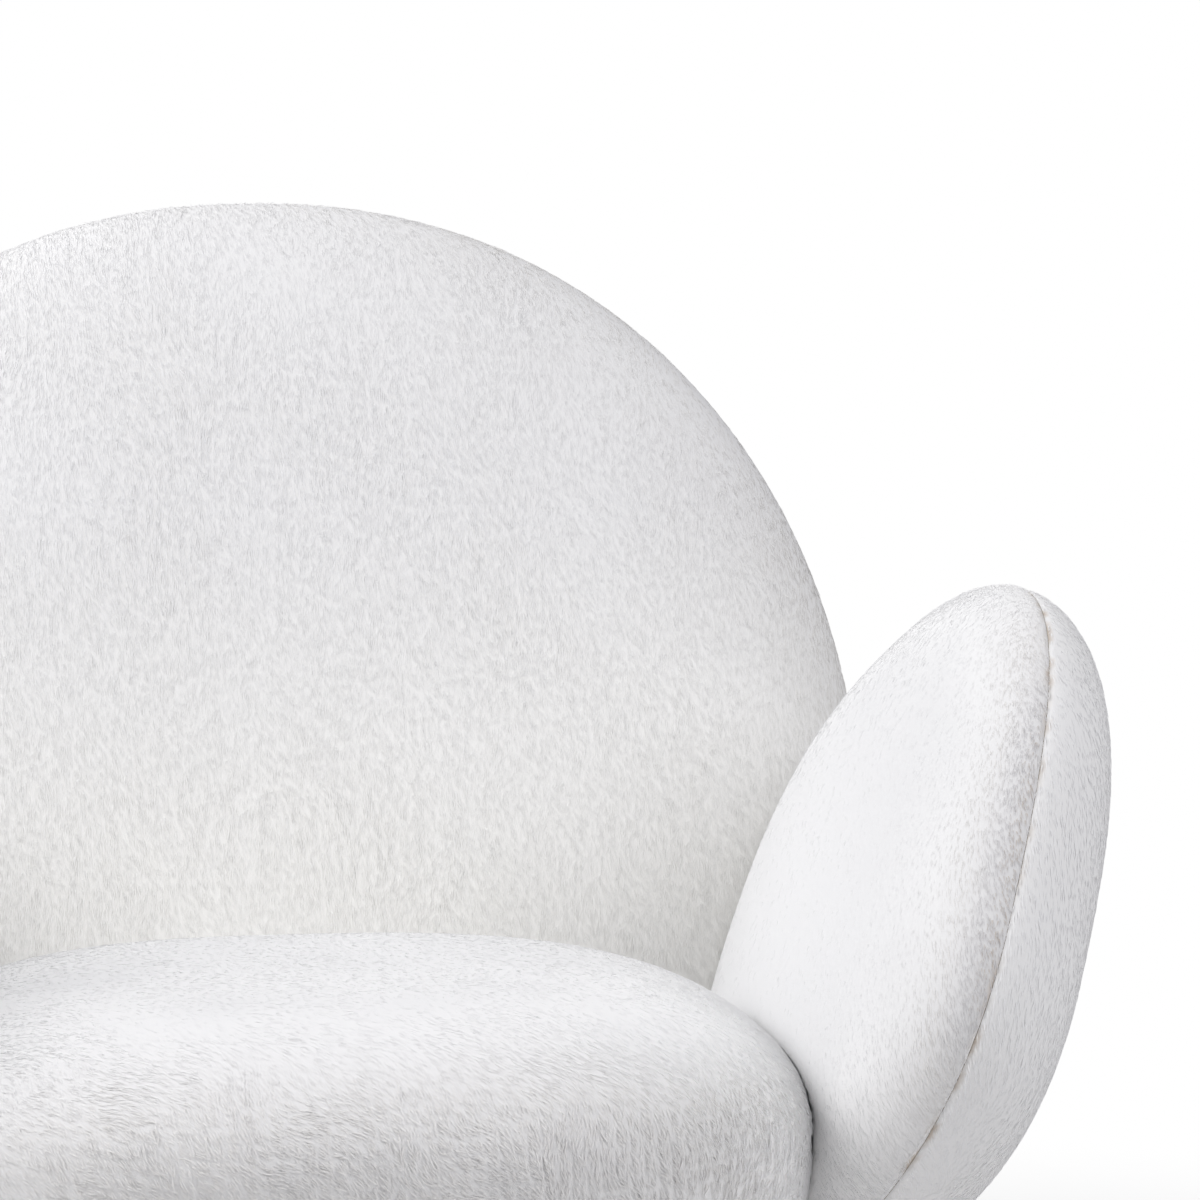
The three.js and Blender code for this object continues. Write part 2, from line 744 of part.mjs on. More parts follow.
function armsGroup() {
  const group = new THREE.Group();
  const parts = [
    ['inner_pad', armInnerPad(), finishes.plush],
    ['outer_pad', armOuterPad(), finishes.plush],
    ['board', armBoard(), finishes.frameWood],
  ];
  for (const [name, geometry, finish] of parts) {
    group.add(piece(`arm_left_${name}`, geometry, finish));
    group.add(piece(`arm_right_${name}`, mirrored(geometry), finish));
  }
  return group;
}

function fixingsGroup() {
  const group = new THREE.Group();
  for (const [name, place] of Object.entries(blockPlaces)) {
    const block = piece(name, blockGeometry(place.block), finishes.frameWood, place.x, place.y);
    block.rotation.z = place.turn;
    group.add(block);
  }
  for (const { bolt, insert, x, y } of boltPlaces()) {
    group.add(piece(bolt, boltGeometry(), finishes.steel, x, y, blockBottom + boltHeadHeight));
    group.add(piece(insert, insertGeometry(), finishes.steel, x, y, ringBottom + gap));
  }
  return group;
}

function legsGroup() {
  const group = new THREE.Group();
  for (const leg of legs) {
    const corner = new THREE.Group();
    corner.position.set(leg.x, leg.y, 0);
    const footX = leg.outSlope * legHeight;
    const footY = leg.endSlope * legHeight;
    corner.add(
      piece(`${leg.name}_leg`, legGeometry(leg), finishes.legWood, 0, 0, glideHeight + gap),
      piece(`${leg.name}_plate`, plateGeometry(), finishes.steel, 0, 0, legTop + gap + plateThickness / 2),
      piece(
        `${leg.name}_hanger_bolt`,
        uprightCylinder(hangerRadius, 0, hangerLength, 0, 0),
        finishes.steel, 0, 0, legTop - hangerInLeg,
      ),
      piece(`${leg.name}_glide`, glideGeometry(), finishes.glide, footX, footY),
    );
    group.add(corner);
  }
  return group;
}

const chair = new THREE.Group();
chair.add(seatGroup(), backGroup(), armsGroup(), fixingsGroup(), legsGroup());

// The origin lies on the floor under the middle of the chair's box.
const bounds = new THREE.Box3().setFromObject(chair, true);
chair.position.y = -(bounds.min.y + bounds.max.y) / 2;

export default chair;
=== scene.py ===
# A plush lounge chair: a round reclined back, two leaning petal arms and a thick crowned seat,
# upholstered all over in short white pile, on tapered wooden legs.
# Metres, +Z up. The sitter faces -Y, and left (+X) and right are the sitter's own.
import logging
from collections.abc import Callable, Sequence
from dataclasses import dataclass
from enum import Enum
from math import cos, pi, radians, sin
from typing import Any

import bpy
import numpy as np
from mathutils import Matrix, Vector


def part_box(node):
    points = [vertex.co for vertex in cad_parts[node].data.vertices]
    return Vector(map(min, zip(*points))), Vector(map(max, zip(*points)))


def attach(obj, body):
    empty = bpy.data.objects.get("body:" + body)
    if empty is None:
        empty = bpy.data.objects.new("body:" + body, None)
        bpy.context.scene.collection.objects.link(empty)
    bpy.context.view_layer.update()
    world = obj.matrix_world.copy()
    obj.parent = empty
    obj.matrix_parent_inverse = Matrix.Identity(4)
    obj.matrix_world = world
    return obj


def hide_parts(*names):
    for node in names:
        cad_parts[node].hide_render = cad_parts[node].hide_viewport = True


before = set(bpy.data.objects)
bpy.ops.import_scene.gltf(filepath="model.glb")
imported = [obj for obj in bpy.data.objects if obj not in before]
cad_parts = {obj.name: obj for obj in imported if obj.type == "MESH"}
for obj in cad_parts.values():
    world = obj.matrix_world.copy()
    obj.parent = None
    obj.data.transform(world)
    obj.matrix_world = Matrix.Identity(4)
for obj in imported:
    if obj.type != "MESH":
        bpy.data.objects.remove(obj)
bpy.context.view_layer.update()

BODY = "root"
GAP = 0.0003  # between a cushion and the frame inside it
BOARD_ROOM = 0.0117  # how far a board's pocket keeps from the neighbours
WINDOW_ROOM = 0.0004  # between a cushion and a block that passes through it
CUT_MARGIN = 0.0002  # how far from a cut its faces are looked for
HALVINGS = 30
WAVES_IN_SCALE = 20 / (2 * pi)  # waves in a metre at a wave texture's scale of 1
WAVE_LENGTHS = (0.6, 1.5)  # the least and the greatest wave length of a drift, as shares of the mean
Array = np.ndarray
Thing = bpy.types.Object
Material = bpy.types.Material
Socket = bpy.types.NodeSocket
Triple = Sequence[float]
log = logging.getLogger("chair")


class Side(Enum):
    """The sitter's side that a piece belongs to; the value is the sign of its X."""

    LEFT = 1
    RIGHT = -1

    @property
    def word(self) -> str:
        """The side's name as the nodes write it."""
        return self.name.lower()


class Half(Enum):
    """Which side of its seam a pad fills; the value is the sign of its dome."""

    UPPER = 1
    LOWER = -1


# Shapes


def unit(vectors: Array) -> Array:
    """Each vector divided by its length, or zero where it has none."""
    return vectors / np.maximum(np.linalg.norm(vectors, axis=-1, keepdims=True), 1e-12)


def across(vectors: Array, normals: Array) -> Array:
    """Each vector less its part along the normal, brought to length 1."""
    return unit(vectors - (vectors * normals).sum(-1, keepdims=True) * normals)


@dataclass(frozen=True)
class Oval:
    """A closed outline of four half axes, |u/a|^power + |v/b|^power = 1 in each quarter.

    Power 2 is an ellipse, and a higher power draws the outline towards a rectangle.
    """

    left: float
    right: float
    top: float
    bottom: float
    power: float

    def axes(self, u: Array, v: Array, grow: float) -> tuple[Array, Array]:
        """The half width and half height of each point's quarter, grown by a distance."""
        return np.where(u > 0, self.right, self.left) + grow, np.where(v > 0, self.top, self.bottom) + grow

    def outline(self, turn: Array, grow: float = 0.0) -> Array:
        """Points on the outline: u = a sign(cos) |cos|^(2/power), v = b sign(sin) |sin|^(2/power).

        Args:
            turn: Angles in radians.
            grow: How much wider the outline is than its own size.

        Returns:
            One (u, v) for each angle.
        """
        c, s = np.cos(turn), np.sin(turn)
        a, b = self.axes(c, s, grow)
        e = 2 / self.power
        return np.stack([a * np.sign(c) * np.abs(c) ** e, b * np.sign(s) * np.abs(s) ** e], -1)

    def share(self, u: Array, v: Array, grow: float = 0.0) -> Array:
        """How far out a point lies: 0 in the middle and 1 on the outline."""
        a, b = self.axes(u, v, grow)
        return (np.abs(u / a) ** self.power + np.abs(v / b) ** self.power) ** (1 / self.power)


@dataclass(frozen=True)
class Dome:
    """One side of a pad, which stands rise * sqrt(1 - share^power) above the seam's plane."""

    rise: float
    power: float

    def level(self, share: Array, grow: float = 0.0) -> Array:
        """The dome's height at each share of its outline."""
        return (self.rise + grow) * np.sqrt(np.clip(1 - np.clip(share, 0, 1) ** self.power, 0, 1))


@dataclass(frozen=True)
class Stand:
    """Where a pad stands: its centre, and the directions of its width, height and upper side."""

    centre: Triple
    width: Triple
    height: Triple
    normal: Triple

    def out(self, local: Array) -> Array:
        """Local points as points of the chair."""
        return np.array(self.centre) + local @ np.array([self.width, self.height, self.normal])

    def back(self, points: Array) -> Array:
        """Points of the chair as local points."""
        return (points - np.array(self.centre)) @ np.array([self.width, self.height, self.normal]).T

    def on(self, side: Side) -> "Stand":
        """This stand, or its mirror image for the right side of the chair."""
        flip = np.array((side.value, 1, 1))
        return Stand(*(flip * each for each in (self.centre, self.width, self.height, self.normal)))


@dataclass(frozen=True)
class Box:
    """An upright box between two corners."""

    low: Array
    high: Array

    @staticmethod
    def of(node: str) -> "Box":
        """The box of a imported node."""
        return Box(*(np.array(corner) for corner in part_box(node)))

    @staticmethod
    def window(block: str) -> "Box":
        """The hole that a packed block passes through."""
        return Box.of(block).grown(WINDOW_ROOM)

    def grown(self, grow: float) -> "Box":
        """This box with every side moved out by a distance."""
        return Box(self.low - grow, self.high + grow)

    def holds(self, points: Array) -> Array:
        """Whether each point lies in the box."""
        return ((points > self.low) & (points < self.high)).all(-1)

    def body(self, name: str) -> Thing:
        """A closed body of the box."""
        corner = np.array([(x, y, z) for z in (0, 1) for y in (0, 1) for x in (0, 1)])
        faces = np.array([(0, 2, 3, 1), (4, 5, 7, 6), (0, 1, 5, 4), (2, 6, 7, 3), (0, 4, 6, 2), (1, 3, 7, 5)])
        return new_object(name, self.low + corner * (self.high - self.low), faces)


@dataclass(frozen=True)
class Lens:
    """A cushion's whole shape: an oval seam with a dome on each side of it."""

    oval: Oval
    upper: Dome
    lower: Dome
    stand: Stand

    def holds(self, points: Array, grow: float) -> Array:
        """Whether each point lies inside the lens when that is grown by a distance.

        Args:
            points: Points of the chair.
            grow: The distance in metres, below zero to shrink.

        Returns:
            One truth value for each point.
        """
        u, v, w = np.moveaxis(self.stand.back(points), -1, 0)
        share = self.oval.share(u, v, grow)
        level = np.where(w > 0, self.upper.level(share, grow), self.lower.level(share, grow))
        return (share < 1) & (np.abs(w) < level)

    def pushed_out(self, points: Array, way: Triple, grow: float, reach: float = 0.3) -> Array:
        """Moves the points that lie inside the lens straight along a direction until they are out.

        The length of the move is found by halving the reach again and again.

        Args:
            points: Points of the chair.
            way: The direction of the move.
            grow: How much larger than itself the lens is taken.
            reach: The longest move that may be needed.

        Returns:
            The points, with those inside moved onto the lens.
        """
        ways = np.array(way)
        held = self.holds(points, grow)
        low = np.zeros(held.shape)
        high = np.where(held, reach, 0.0)
        for _ in range(HALVINGS):
            middle = (low + high) / 2
            inside = self.holds(points + middle[..., None] * ways, grow) & held
            low = np.where(inside, middle, low)
            high = np.where(inside, high, middle)
        return points + high[..., None] * ways


class Drift:
    """A smooth random field: a mean of waves sin(k . p + phase) of mixed directions and lengths."""

    def __init__(self, seed: int, length: float, waves: int = 14) -> None:
        """Draws the waves.

        Args:
            seed: The seed of the random draws.
            length: The mean wave length in metres.
            waves: How many waves are added.
        """
        rng = np.random.default_rng(seed)
        ways = unit(rng.normal(size=(waves, 3)))
        self.turns = ways * (2 * pi / (length * rng.uniform(*WAVE_LENGTHS, (waves, 1))))
        self.phase = rng.uniform(0, 2 * pi, waves)

    def at(self, points: Array) -> Array:
        """The field at each point, mostly between -1 and 1."""
        return np.sin(points @ self.turns.T + self.phase).sum(-1) / np.sqrt(len(self.phase))


def new_object(name: str, vertices: Array, *groups: Array, smooth: bool = True) -> Thing:
    """Makes a mesh object.

    Args:
        name: The object's name.
        vertices: One point in a row.
        groups: Arrays of vertex numbers, one face in a row. The faces of a group have as many corners.
        smooth: Whether its faces are shaded as one smooth surface.

    Returns:
        The object, linked to the scene.
    """
    mesh = bpy.data.meshes.new(name)
    corners = np.concatenate([group.ravel() for group in groups]).astype(np.int32)
    counts = np.concatenate([np.full(len(group), group.shape[1]) for group in groups])
    starts = np.concatenate([[0], np.cumsum(counts)[:-1]]).astype(np.int32)
    mesh.vertices.add(len(vertices))
    mesh.vertices.foreach_set("co", np.ascontiguousarray(vertices, np.float32).ravel())
    mesh.loops.add(len(corners))
    mesh.loops.foreach_set("vertex_index", corners)
    mesh.polygons.add(len(counts))
    mesh.polygons.foreach_set("loop_start", starts)
    mesh.polygons.foreach_set("use_smooth", np.full(len(counts), smooth))
    mesh.update(calc_edges=True)
    made = bpy.data.objects.new(name, mesh)
    bpy.context.scene.collection.objects.link(made)
    return made


def skin(name: str, rings: Array, side: Side = Side.LEFT) -> Thing:
    """A closed skin over rings of points, whose first and last ring are each a single point.

    Quads join each ring to the next, and a fan of triangles closes each pole.

    Args:
        name: The object's name.
        rings: Points as (ring, step, xyz), counterclockwise seen from the first pole on the left
            side of the chair and clockwise on its right side.
        side: The side of the chair.

    Returns:
        The object, whose faces go ring by ring from the first pole.
    """
    count, steps, _ = rings.shape
    inner = rings[1:-1].reshape(-1, 3)
    vertices = np.concatenate([rings[0, :1], inner, rings[-1, :1]])
    ring, step = np.meshgrid(np.arange(count - 3), np.arange(steps), indexing="ij")
    after = (step + 1) % steps
    near, far = 1 + ring * steps, 1 + (ring + 1) * steps
    quads = np.stack([near + step, far + step, far + after, near + after], -1).reshape(-1, 4)
    turn = np.arange(steps)
    turned = (turn + 1) % steps
    last = len(vertices) - 1
    top = np.stack([np.zeros_like(turn), 1 + turn, 1 + turned], -1)
    foot = 1 + (count - 3) * steps
    bottom = np.stack([foot + turn, np.full_like(turn, last), foot + turned], -1)
    return new_object(name, vertices, *(faces[:, ::side.value] for faces in (top, quads, bottom)))


def carve(piece: Thing, cuts: Sequence[Box], slot: int) -> None:
    """Cuts boxes out of a piece and gives the cut faces a material of their own.

    Args:
        piece: The piece that is cut.
        cuts: The boxes that are taken out of it.
        slot: The material slot of the cut faces.
    """
    for cut in cuts:
        cutter = cut.body("cutter")
        taken = piece.modifiers.new("cut", "BOOLEAN")
        taken.object, taken.solver = cutter, "MANIFOLD"
        with bpy.context.temp_override(object=piece, active_object=piece):
            bpy.ops.object.modifier_apply(modifier=taken.name)
        bpy.data.objects.remove(cutter)
    slots = read(piece.data.polygons, "material_index", 1, np.int32)
    middles = read(piece.data.polygons, "center", 3)
    for cut in cuts:
        slots[cut.grown(CUT_MARGIN).holds(middles)] = slot
    piece.data.polygons.foreach_set("material_index", slots)


def read(items: Any, key: str, width: int, kind: type = np.float32) -> Array:
    """One property of every item of a mesh.

    Args:
        items: The mesh's vertices, faces, triangles or normals.
        key: The property's name.
        width: How many numbers it has.
        kind: The type that the mesh keeps it in.

    Returns:
        One row for each item, or one number where the width is 1.
    """
    values = np.empty(len(items) * width, kind)
    items.foreach_get(key, values)
    return values if width == 1 else values.reshape(-1, width).astype(float)


def points_of(piece: Thing) -> Array:
    """The points of a piece."""
    return read(piece.data.vertices, "co", 3)


def normals_of(piece: Thing) -> Array:
    """The normals at a piece's points."""
    return read(piece.data.vertex_normals, "vector", 3)


def mark(piece: Thing, name: str, values: Array) -> None:
    """Keeps a number or a vector for each point of a piece in an attribute."""
    kind, key = ("FLOAT", "value") if values.ndim == 1 else ("FLOAT_VECTOR", "vector")
    held = piece.data.attributes.new(name, kind, "POINT")
    held.data.foreach_set(key, values.astype(np.float32).ravel())


def join(piece: Thing, node: str = "") -> None:
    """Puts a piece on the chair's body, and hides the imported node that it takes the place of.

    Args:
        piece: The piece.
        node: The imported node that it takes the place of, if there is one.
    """
    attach(piece, BODY)
    if node:
        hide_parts(node)
        log.info("%s replaces %s", piece.name, node)


def circle(steps: int) -> Array:
    """Points round a level circle of radius 1, counterclockwise seen from above."""
    turn = np.arange(steps) / steps * 2 * pi
    return np.stack([np.cos(turn), np.sin(turn), 0 * turn], -1)


# Finishes


class Wire:
    """A number in a node tree. An operator on it adds the Math node that works it out."""

    def __init__(self, sheet: "Sheet", socket: Socket) -> None:
        """Wraps an output socket of a sheet."""
        self.sheet = sheet
        self.socket = socket

    def math(self, operation: str, *values: Any) -> "Wire":
        """A Math node over values in their order, one of which may be this wire."""
        return self.sheet.wire("ShaderNodeMath", {"operation": operation}, dict(enumerate(values)))

    def __add__(self, other: Any) -> "Wire":
        """self + other"""
        return self.math("ADD", self, other)

    def __sub__(self, other: Any) -> "Wire":
        """self - other"""
        return self.math("SUBTRACT", self, other)

    def __rsub__(self, other: Any) -> "Wire":
        """other - self"""
        return self.math("SUBTRACT", other, self)

    def __mul__(self, other: Any) -> "Wire":
        """self * other"""
        return self.math("MULTIPLY", self, other)

    __radd__ = __add__
    __rmul__ = __mul__

    def spread(self, low: float, high: float) -> "Wire":
        """This wire from 0 to 1 as it goes from low to high, held at both ends."""
        sockets = {"Value": self, "From Min": low, "From Max": high}
        return self.sheet.wire("ShaderNodeMapRange", {"interpolation_type": "SMOOTHSTEP"}, sockets)


class Sheet:
    """The node tree of one material or world."""

    def __init__(self, owner: Material | bpy.types.World) -> None:
        """Empties a node tree.

        Args:
            owner: The material or world that the tree belongs to.
        """
        owner.use_nodes = True
        self.owner = owner
        self.tree = owner.node_tree
        self.tree.nodes.clear()

    def add(self, kind: str, settings: dict[str, Any], sockets: dict[Any, Any]) -> bpy.types.Node:
        """Adds a node.

        Args:
            kind: The node's type.
            settings: Its settings, which are set first. "stops" holds a ramp's places and colours.
            sockets: For each input's name or number, its value or the output or wire that feeds it.

        Returns:
            The node.
        """
        node = self.tree.nodes.new(kind)
        for name, value in settings.items():
            if name == "stops":
                elements = node.color_ramp.elements
                for number, (place, color) in enumerate(value):
                    stop = elements[number] if number < len(elements) else elements.new(place)
                    stop.position, stop.color = place, (*color, 1)
            else:
                setattr(node, name, value)
        for name, value in sockets.items():
            value = value.socket if isinstance(value, Wire) else value
            if isinstance(value, Socket):
                self.tree.links.new(value, node.inputs[name])
            else:
                node.inputs[name].default_value = value
        return node

    def wire(self, kind: str, settings: dict[str, Any], sockets: dict[Any, Any], output: Any = 0) -> Wire:
        """Adds a node and wraps one of its outputs."""
        return Wire(self, self.add(kind, settings, sockets).outputs[output])

    def mix(self, factor: Any, first: Any, second: Any) -> Socket:
        """A colour between two, from the first at factor 0 to the second at 1."""
        first, second = ((*c, 1) if isinstance(c, tuple) else c for c in (first, second))
        return self.add("ShaderNodeMix", {"data_type": "RGBA"}, {0: factor, 6: first, 7: second}).outputs[2]

    def place(self, scale: Triple = (1, 1, 1), turn: Triple = (0, 0, 0)) -> Socket:
        """The chair's own coordinates, turned and then scaled."""
        coordinates = self.add("ShaderNodeTexCoord", {}, {}).outputs["Object"]
        sockets = {"Vector": coordinates, "Scale": scale, "Rotation": turn}
        return self.add("ShaderNodeMapping", {}, sockets).outputs[0]

    def noise(self, place: Any, scale: float, detail: float = 2.0, roughness: float = 0.5) -> Wire:
        """Noise of a number of cycles in a metre."""
        sockets = {"Vector": place, "Scale": scale, "Detail": detail, "Roughness": roughness}
        return self.wire("ShaderNodeTexNoise", {}, sockets)

    def crossed(self, place: Any, cycles: float, **shape: float) -> Wire:
        """Two sets of waves across each other.

        Args:
            place: The coordinates that they run in.
            cycles: How many waves go into a metre.
            **shape: More inputs of the wave texture.

        Returns:
            The product of the two.
        """
        sockets = {"Vector": place, "Scale": cycles / WAVES_IN_SCALE, **shape}
        first, second = (
            self.wire("ShaderNodeTexWave", {"bands_direction": way}, sockets, "Fac") for way in ("X", "Y")
        )
        return first * second

    def attribute(self, name: str, output: str = "Fac") -> Wire:
        """A number or vector that the mesh holds at its points."""
        return self.wire("ShaderNodeAttribute", {"attribute_name": name}, {}, output)

    def bump(self, height: Wire, distance: float, strength: float = 1.0) -> Socket:
        """A normal bent by a height of a real size in metres."""
        sockets = {"Height": height, "Distance": distance, "Strength": strength}
        return self.add("ShaderNodeBump", {}, sockets).outputs[0]

    def surface(self, sockets: dict[str, Any]) -> Material:
        """Ends a material in one Principled shader with these inputs, and returns the material."""
        shader = self.add("ShaderNodeBsdfPrincipled", {}, sockets)
        self.add("ShaderNodeOutputMaterial", {}, {"Surface": shader.outputs[0]})
        return self.owner


Color = tuple[float, float, float]
# The cream of painted warm bounce light.
PAINTED_BOUNCE_CREAM: Color = (0.97, 0.96, 0.90)


def blank(name: str) -> Sheet:
    """The empty sheet of a new material."""
    return Sheet(bpy.data.materials.new(name))


@dataclass(frozen=True)
class PileFinish:
    """The strands of the pile: pale tips over warmer, darker roots, with no two strands quite alike."""

    # The tan that strands darken towards on a seam: the thread's tan, with painted shade of the groove.
    seam: Color = (0.66, 0.60, 0.54)
    # The grey that painted shade darkens the strands towards.
    dim: Color = (0.76, 0.755, 0.765)
    root: Color = (0.90, 0.885, 0.865)
    body: Color = (0.97, 0.97, 0.973)
    tip: Color = (0.985, 0.985, 0.988)
    roughness: float = 0.8
    sheen: float = 0.15

    def material(self) -> Material:
        """Colours each strand by the tone that its points hold."""
        sheet = blank("pile")
        stops = [(0.0, self.seam), (0.14, self.dim), (0.35, self.root), (0.6, self.body), (1.0, self.tip)]
        ramp = sheet.add("ShaderNodeValToRGB", {"stops": stops}, {0: sheet.attribute("tone")})
        # Painted warm bounce light: creamier low down.
        color = sheet.mix(sheet.attribute("warm"), ramp.outputs[0], PAINTED_BOUNCE_CREAM)
        return sheet.surface({
            "Base Color": color, "Roughness": self.roughness, "Specular IOR Level": 0.2,
            "Sheen Weight": self.sheen, "Sheen Roughness": 0.5,
        })


@dataclass(frozen=True)
class GroundFinish:
    """The dense short pile under the strands, a little darker, and tan along the sewn seams."""

    shade: Color = (0.94, 0.93, 0.91)
    light: Color = (0.975, 0.973, 0.97)
    # calm: painted shade where the pile lies smooth, in place of the shade that standing strands cast.
    calm: Color = (0.86, 0.86, 0.863)
    # Painted shade on the ground where the cushion faces the painted shade's way.
    dusk: Color = (0.74, 0.735, 0.74)
    seam: Color = (0.62, 0.53, 0.44)
    cycles: float = 1500.0
    depth: float = 0.0005

    def material(self) -> Material:
        """Draws fine streaks along the comb, in colour and as bumps."""
        sheet = blank("plush_ground")
        fine = sheet.noise(sheet.attribute("nap", "Vector"), self.cycles, 2.0, 0.6)
        rough = sheet.attribute("rough")
        color = sheet.mix(fine.spread(0.7, 0.3) * rough.spread(0.0, 0.8), self.light, self.shade)
        # Painted shade where the pile lies smooth, in place of the shade that standing strands cast.
        color = sheet.mix(rough.spread(0.0, 0.1), self.calm, color)
        # Painted shade where the cushion faces the painted shade's way.
        color = sheet.mix(sheet.attribute("dusk"), color, self.dusk)
        # Painted warm bounce light: creamier low down.
        color = sheet.mix(sheet.attribute("warm"), color, PAINTED_BOUNCE_CREAM)
        color = sheet.mix(sheet.attribute("seam"), color, self.seam)
        return sheet.surface({
            "Base Color": color, "Roughness": 0.9, "Specular IOR Level": 0.15,
            "Normal": sheet.bump(fine * rough, self.depth),
        })


@dataclass(frozen=True)
class LiningFinish:
    """Woven cotton on the hidden sides of the cushions."""

    thread: Color = (0.66, 0.62, 0.53)
    shadow: Color = (0.46, 0.42, 0.35)
    threads: float = 454.73
    depth: float = 0.0002

    def material(self) -> Material:
        """Crosses two sets of threads."""
        sheet = blank("lining")
        weave = sheet.crossed(sheet.place(), self.threads, Distortion=0.6, Detail=1.0)
        return sheet.surface({
            "Base Color": sheet.mix(weave.spread(0.0, 0.6), self.shadow, self.thread),
            "Roughness": 0.9, "Specular IOR Level": 0.2, "Normal": sheet.bump(weave, self.depth),
        })


@dataclass(frozen=True)
class WoodFinish:
    """Wood whose grain runs along one axis: soft bands, fine pores and a satin or sawn face.

    Attributes:
        name: The material's name.
        dark: The dark bands' colour.
        pale: The pale bands' colour.
        along: How fast the pattern changes along each axis, least along the grain.
        band_cycles: Bands in a metre.
        roughness: The roughness between the pores.
        pore_depth: How deep the pores are.
        sway_cycles: Slow changes in a metre, which are mixed into the bands.
        pore_cycles: Pores in a metre.
        pore_shade: The pores' colour as a share of the dark one.
        pore_weight: How much of that colour shows.
        pore_dulling: How much rougher the pores are.
    """

    name: str
    dark: Color
    pale: Color
    along: Triple
    band_cycles: float
    roughness: float
    pore_depth: float
    sway_cycles: float = 6.0
    pore_cycles: float = 900.0
    pore_shade: float = 0.62
    pore_weight: float = 0.35
    pore_dulling: float = 0.18

    def material(self) -> Material:
        """Blends the growth bands with slow noise and lays pores along them."""
        sheet = blank(self.name)
        place = sheet.place(self.along)
        sway = sheet.noise(place, self.sway_cycles, 2.0)
        bands = sheet.noise(place, self.band_cycles, 3.0, 0.55)
        grain = (bands * 0.7 + sway * 0.3).spread(0.32, 0.66)
        pores = sheet.noise(place, self.pore_cycles, 2.0, 0.6).spread(0.52, 0.72)
        color = sheet.mix(grain, self.dark, self.pale)
        deep = tuple(c * self.pore_shade for c in self.dark)
        color = sheet.mix(pores * self.pore_weight, color, deep)
        return sheet.surface({
            "Base Color": color, "Roughness": pores * self.pore_dulling + self.roughness,
            "Specular IOR Level": 0.4, "Normal": sheet.bump(1 - pores, self.pore_depth),
        })


@dataclass(frozen=True)
class MetalFinish:
    """Plated or oiled steel with faint rolling marks.

    Attributes:
        name: The material's name.
        color: The steel's colour.
        roughness: The roughness beside the marks.
        drawn: How much slower the marks change along Y than across it.
        cycles: Marks in a metre.
        shade: Their darkest colour as a share of the steel's.
        dulling: How much rougher they are.
        depth: How deep they are.
    """

    name: str
    color: Color
    roughness: float
    drawn: float = 0.08
    cycles: float = 1400.0
    shade: float = 0.86
    dulling: float = 0.16
    depth: float = 0.00004

    def material(self) -> Material:
        """Varies the shine in fine streaks."""
        sheet = blank(self.name)
        marks = sheet.noise(sheet.place((1, self.drawn, 1)), self.cycles, 2.0)
        tint = sheet.mix(marks, tuple(c * self.shade for c in self.color), self.color)
        return sheet.surface({
            "Base Color": tint, "Metallic": 1.0, "Roughness": marks * self.dulling + self.roughness,
            "Normal": sheet.bump(marks, self.depth),
        })


@dataclass(frozen=True)
class FeltFinish:
    """Needled grey felt with flecks of fibre."""

    dark: Color = (0.22, 0.21, 0.20)
    pale: Color = (0.46, 0.45, 0.43)
    fleck: Color = (0.62, 0.60, 0.57)
    fleck_turn: float = 0.7
    fleck_drawn: float = 0.2
    fleck_cycles: float = 260.0
    cycles: float = 480.0
    depth: float = 0.0006

    def material(self) -> Material:
        """Lays short flecks over a tangle of fibres."""
        sheet = blank("needled_felt")
        tangle = sheet.noise(sheet.place(), self.cycles, 4.0, 0.7)
        place = sheet.place((1, self.fleck_drawn, 1), (0, 0, self.fleck_turn))
        fleck = sheet.noise(place, self.fleck_cycles, 2.0).spread(0.55, 0.7)
        color = sheet.mix(tangle.spread(0.3, 0.7), self.dark, self.pale)
        return sheet.surface({
            "Base Color": sheet.mix(fleck * 0.5, color, self.fleck), "Roughness": 0.95,
            "Specular IOR Level": 0.15, "Normal": sheet.bump(tangle, self.depth),
        })


@dataclass(frozen=True)
class CoverFinish:
    """Black spunbond cloth with rows of bonded dots."""

    ground: Color = (0.030, 0.030, 0.032)
    dot: Color = (0.012, 0.012, 0.013)
    dots: float = 227.36
    fibre_cycles: float = 1500.0
    depth: float = 0.00015

    def material(self) -> Material:
        """Presses a dot into each crossing of two sets of waves."""
        sheet = blank("spunbond")
        dot = sheet.crossed(sheet.place((1, 1, 1), (0, 0, pi / 4)), self.dots).spread(0.55, 0.85)
        fibre = sheet.noise(sheet.place(), self.fibre_cycles, 3.0)
        return sheet.surface({
            "Base Color": sheet.mix(dot, self.ground, self.dot), "Roughness": 0.75 - dot * 0.25,
            "Specular IOR Level": 0.3, "Normal": sheet.bump(fibre * 0.4 - dot, self.depth),
        })


@dataclass(frozen=True)
class GlideFinish:
    """Off-white moulded plastic with a fine spark grain and scuffs."""

    color: Color = (0.70, 0.68, 0.63)
    scuff: Color = (0.48, 0.45, 0.40)
    scuff_cycles: float = 160.0
    grain_cycles: float = 3000.0
    depth: float = 0.00003

    def material(self) -> Material:
        """Dulls the plastic in patches."""
        sheet = blank("glide_plastic")
        worn = sheet.noise(sheet.place(), self.scuff_cycles, 4.0, 0.65).spread(0.5, 0.75)
        grain = sheet.noise(sheet.place(), self.grain_cycles, 1.0)
        return sheet.surface({
            "Base Color": sheet.mix(worn * 0.6, self.color, self.scuff),
            "Roughness": worn * 0.25 + 0.45, "Normal": sheet.bump(grain, self.depth),
        })


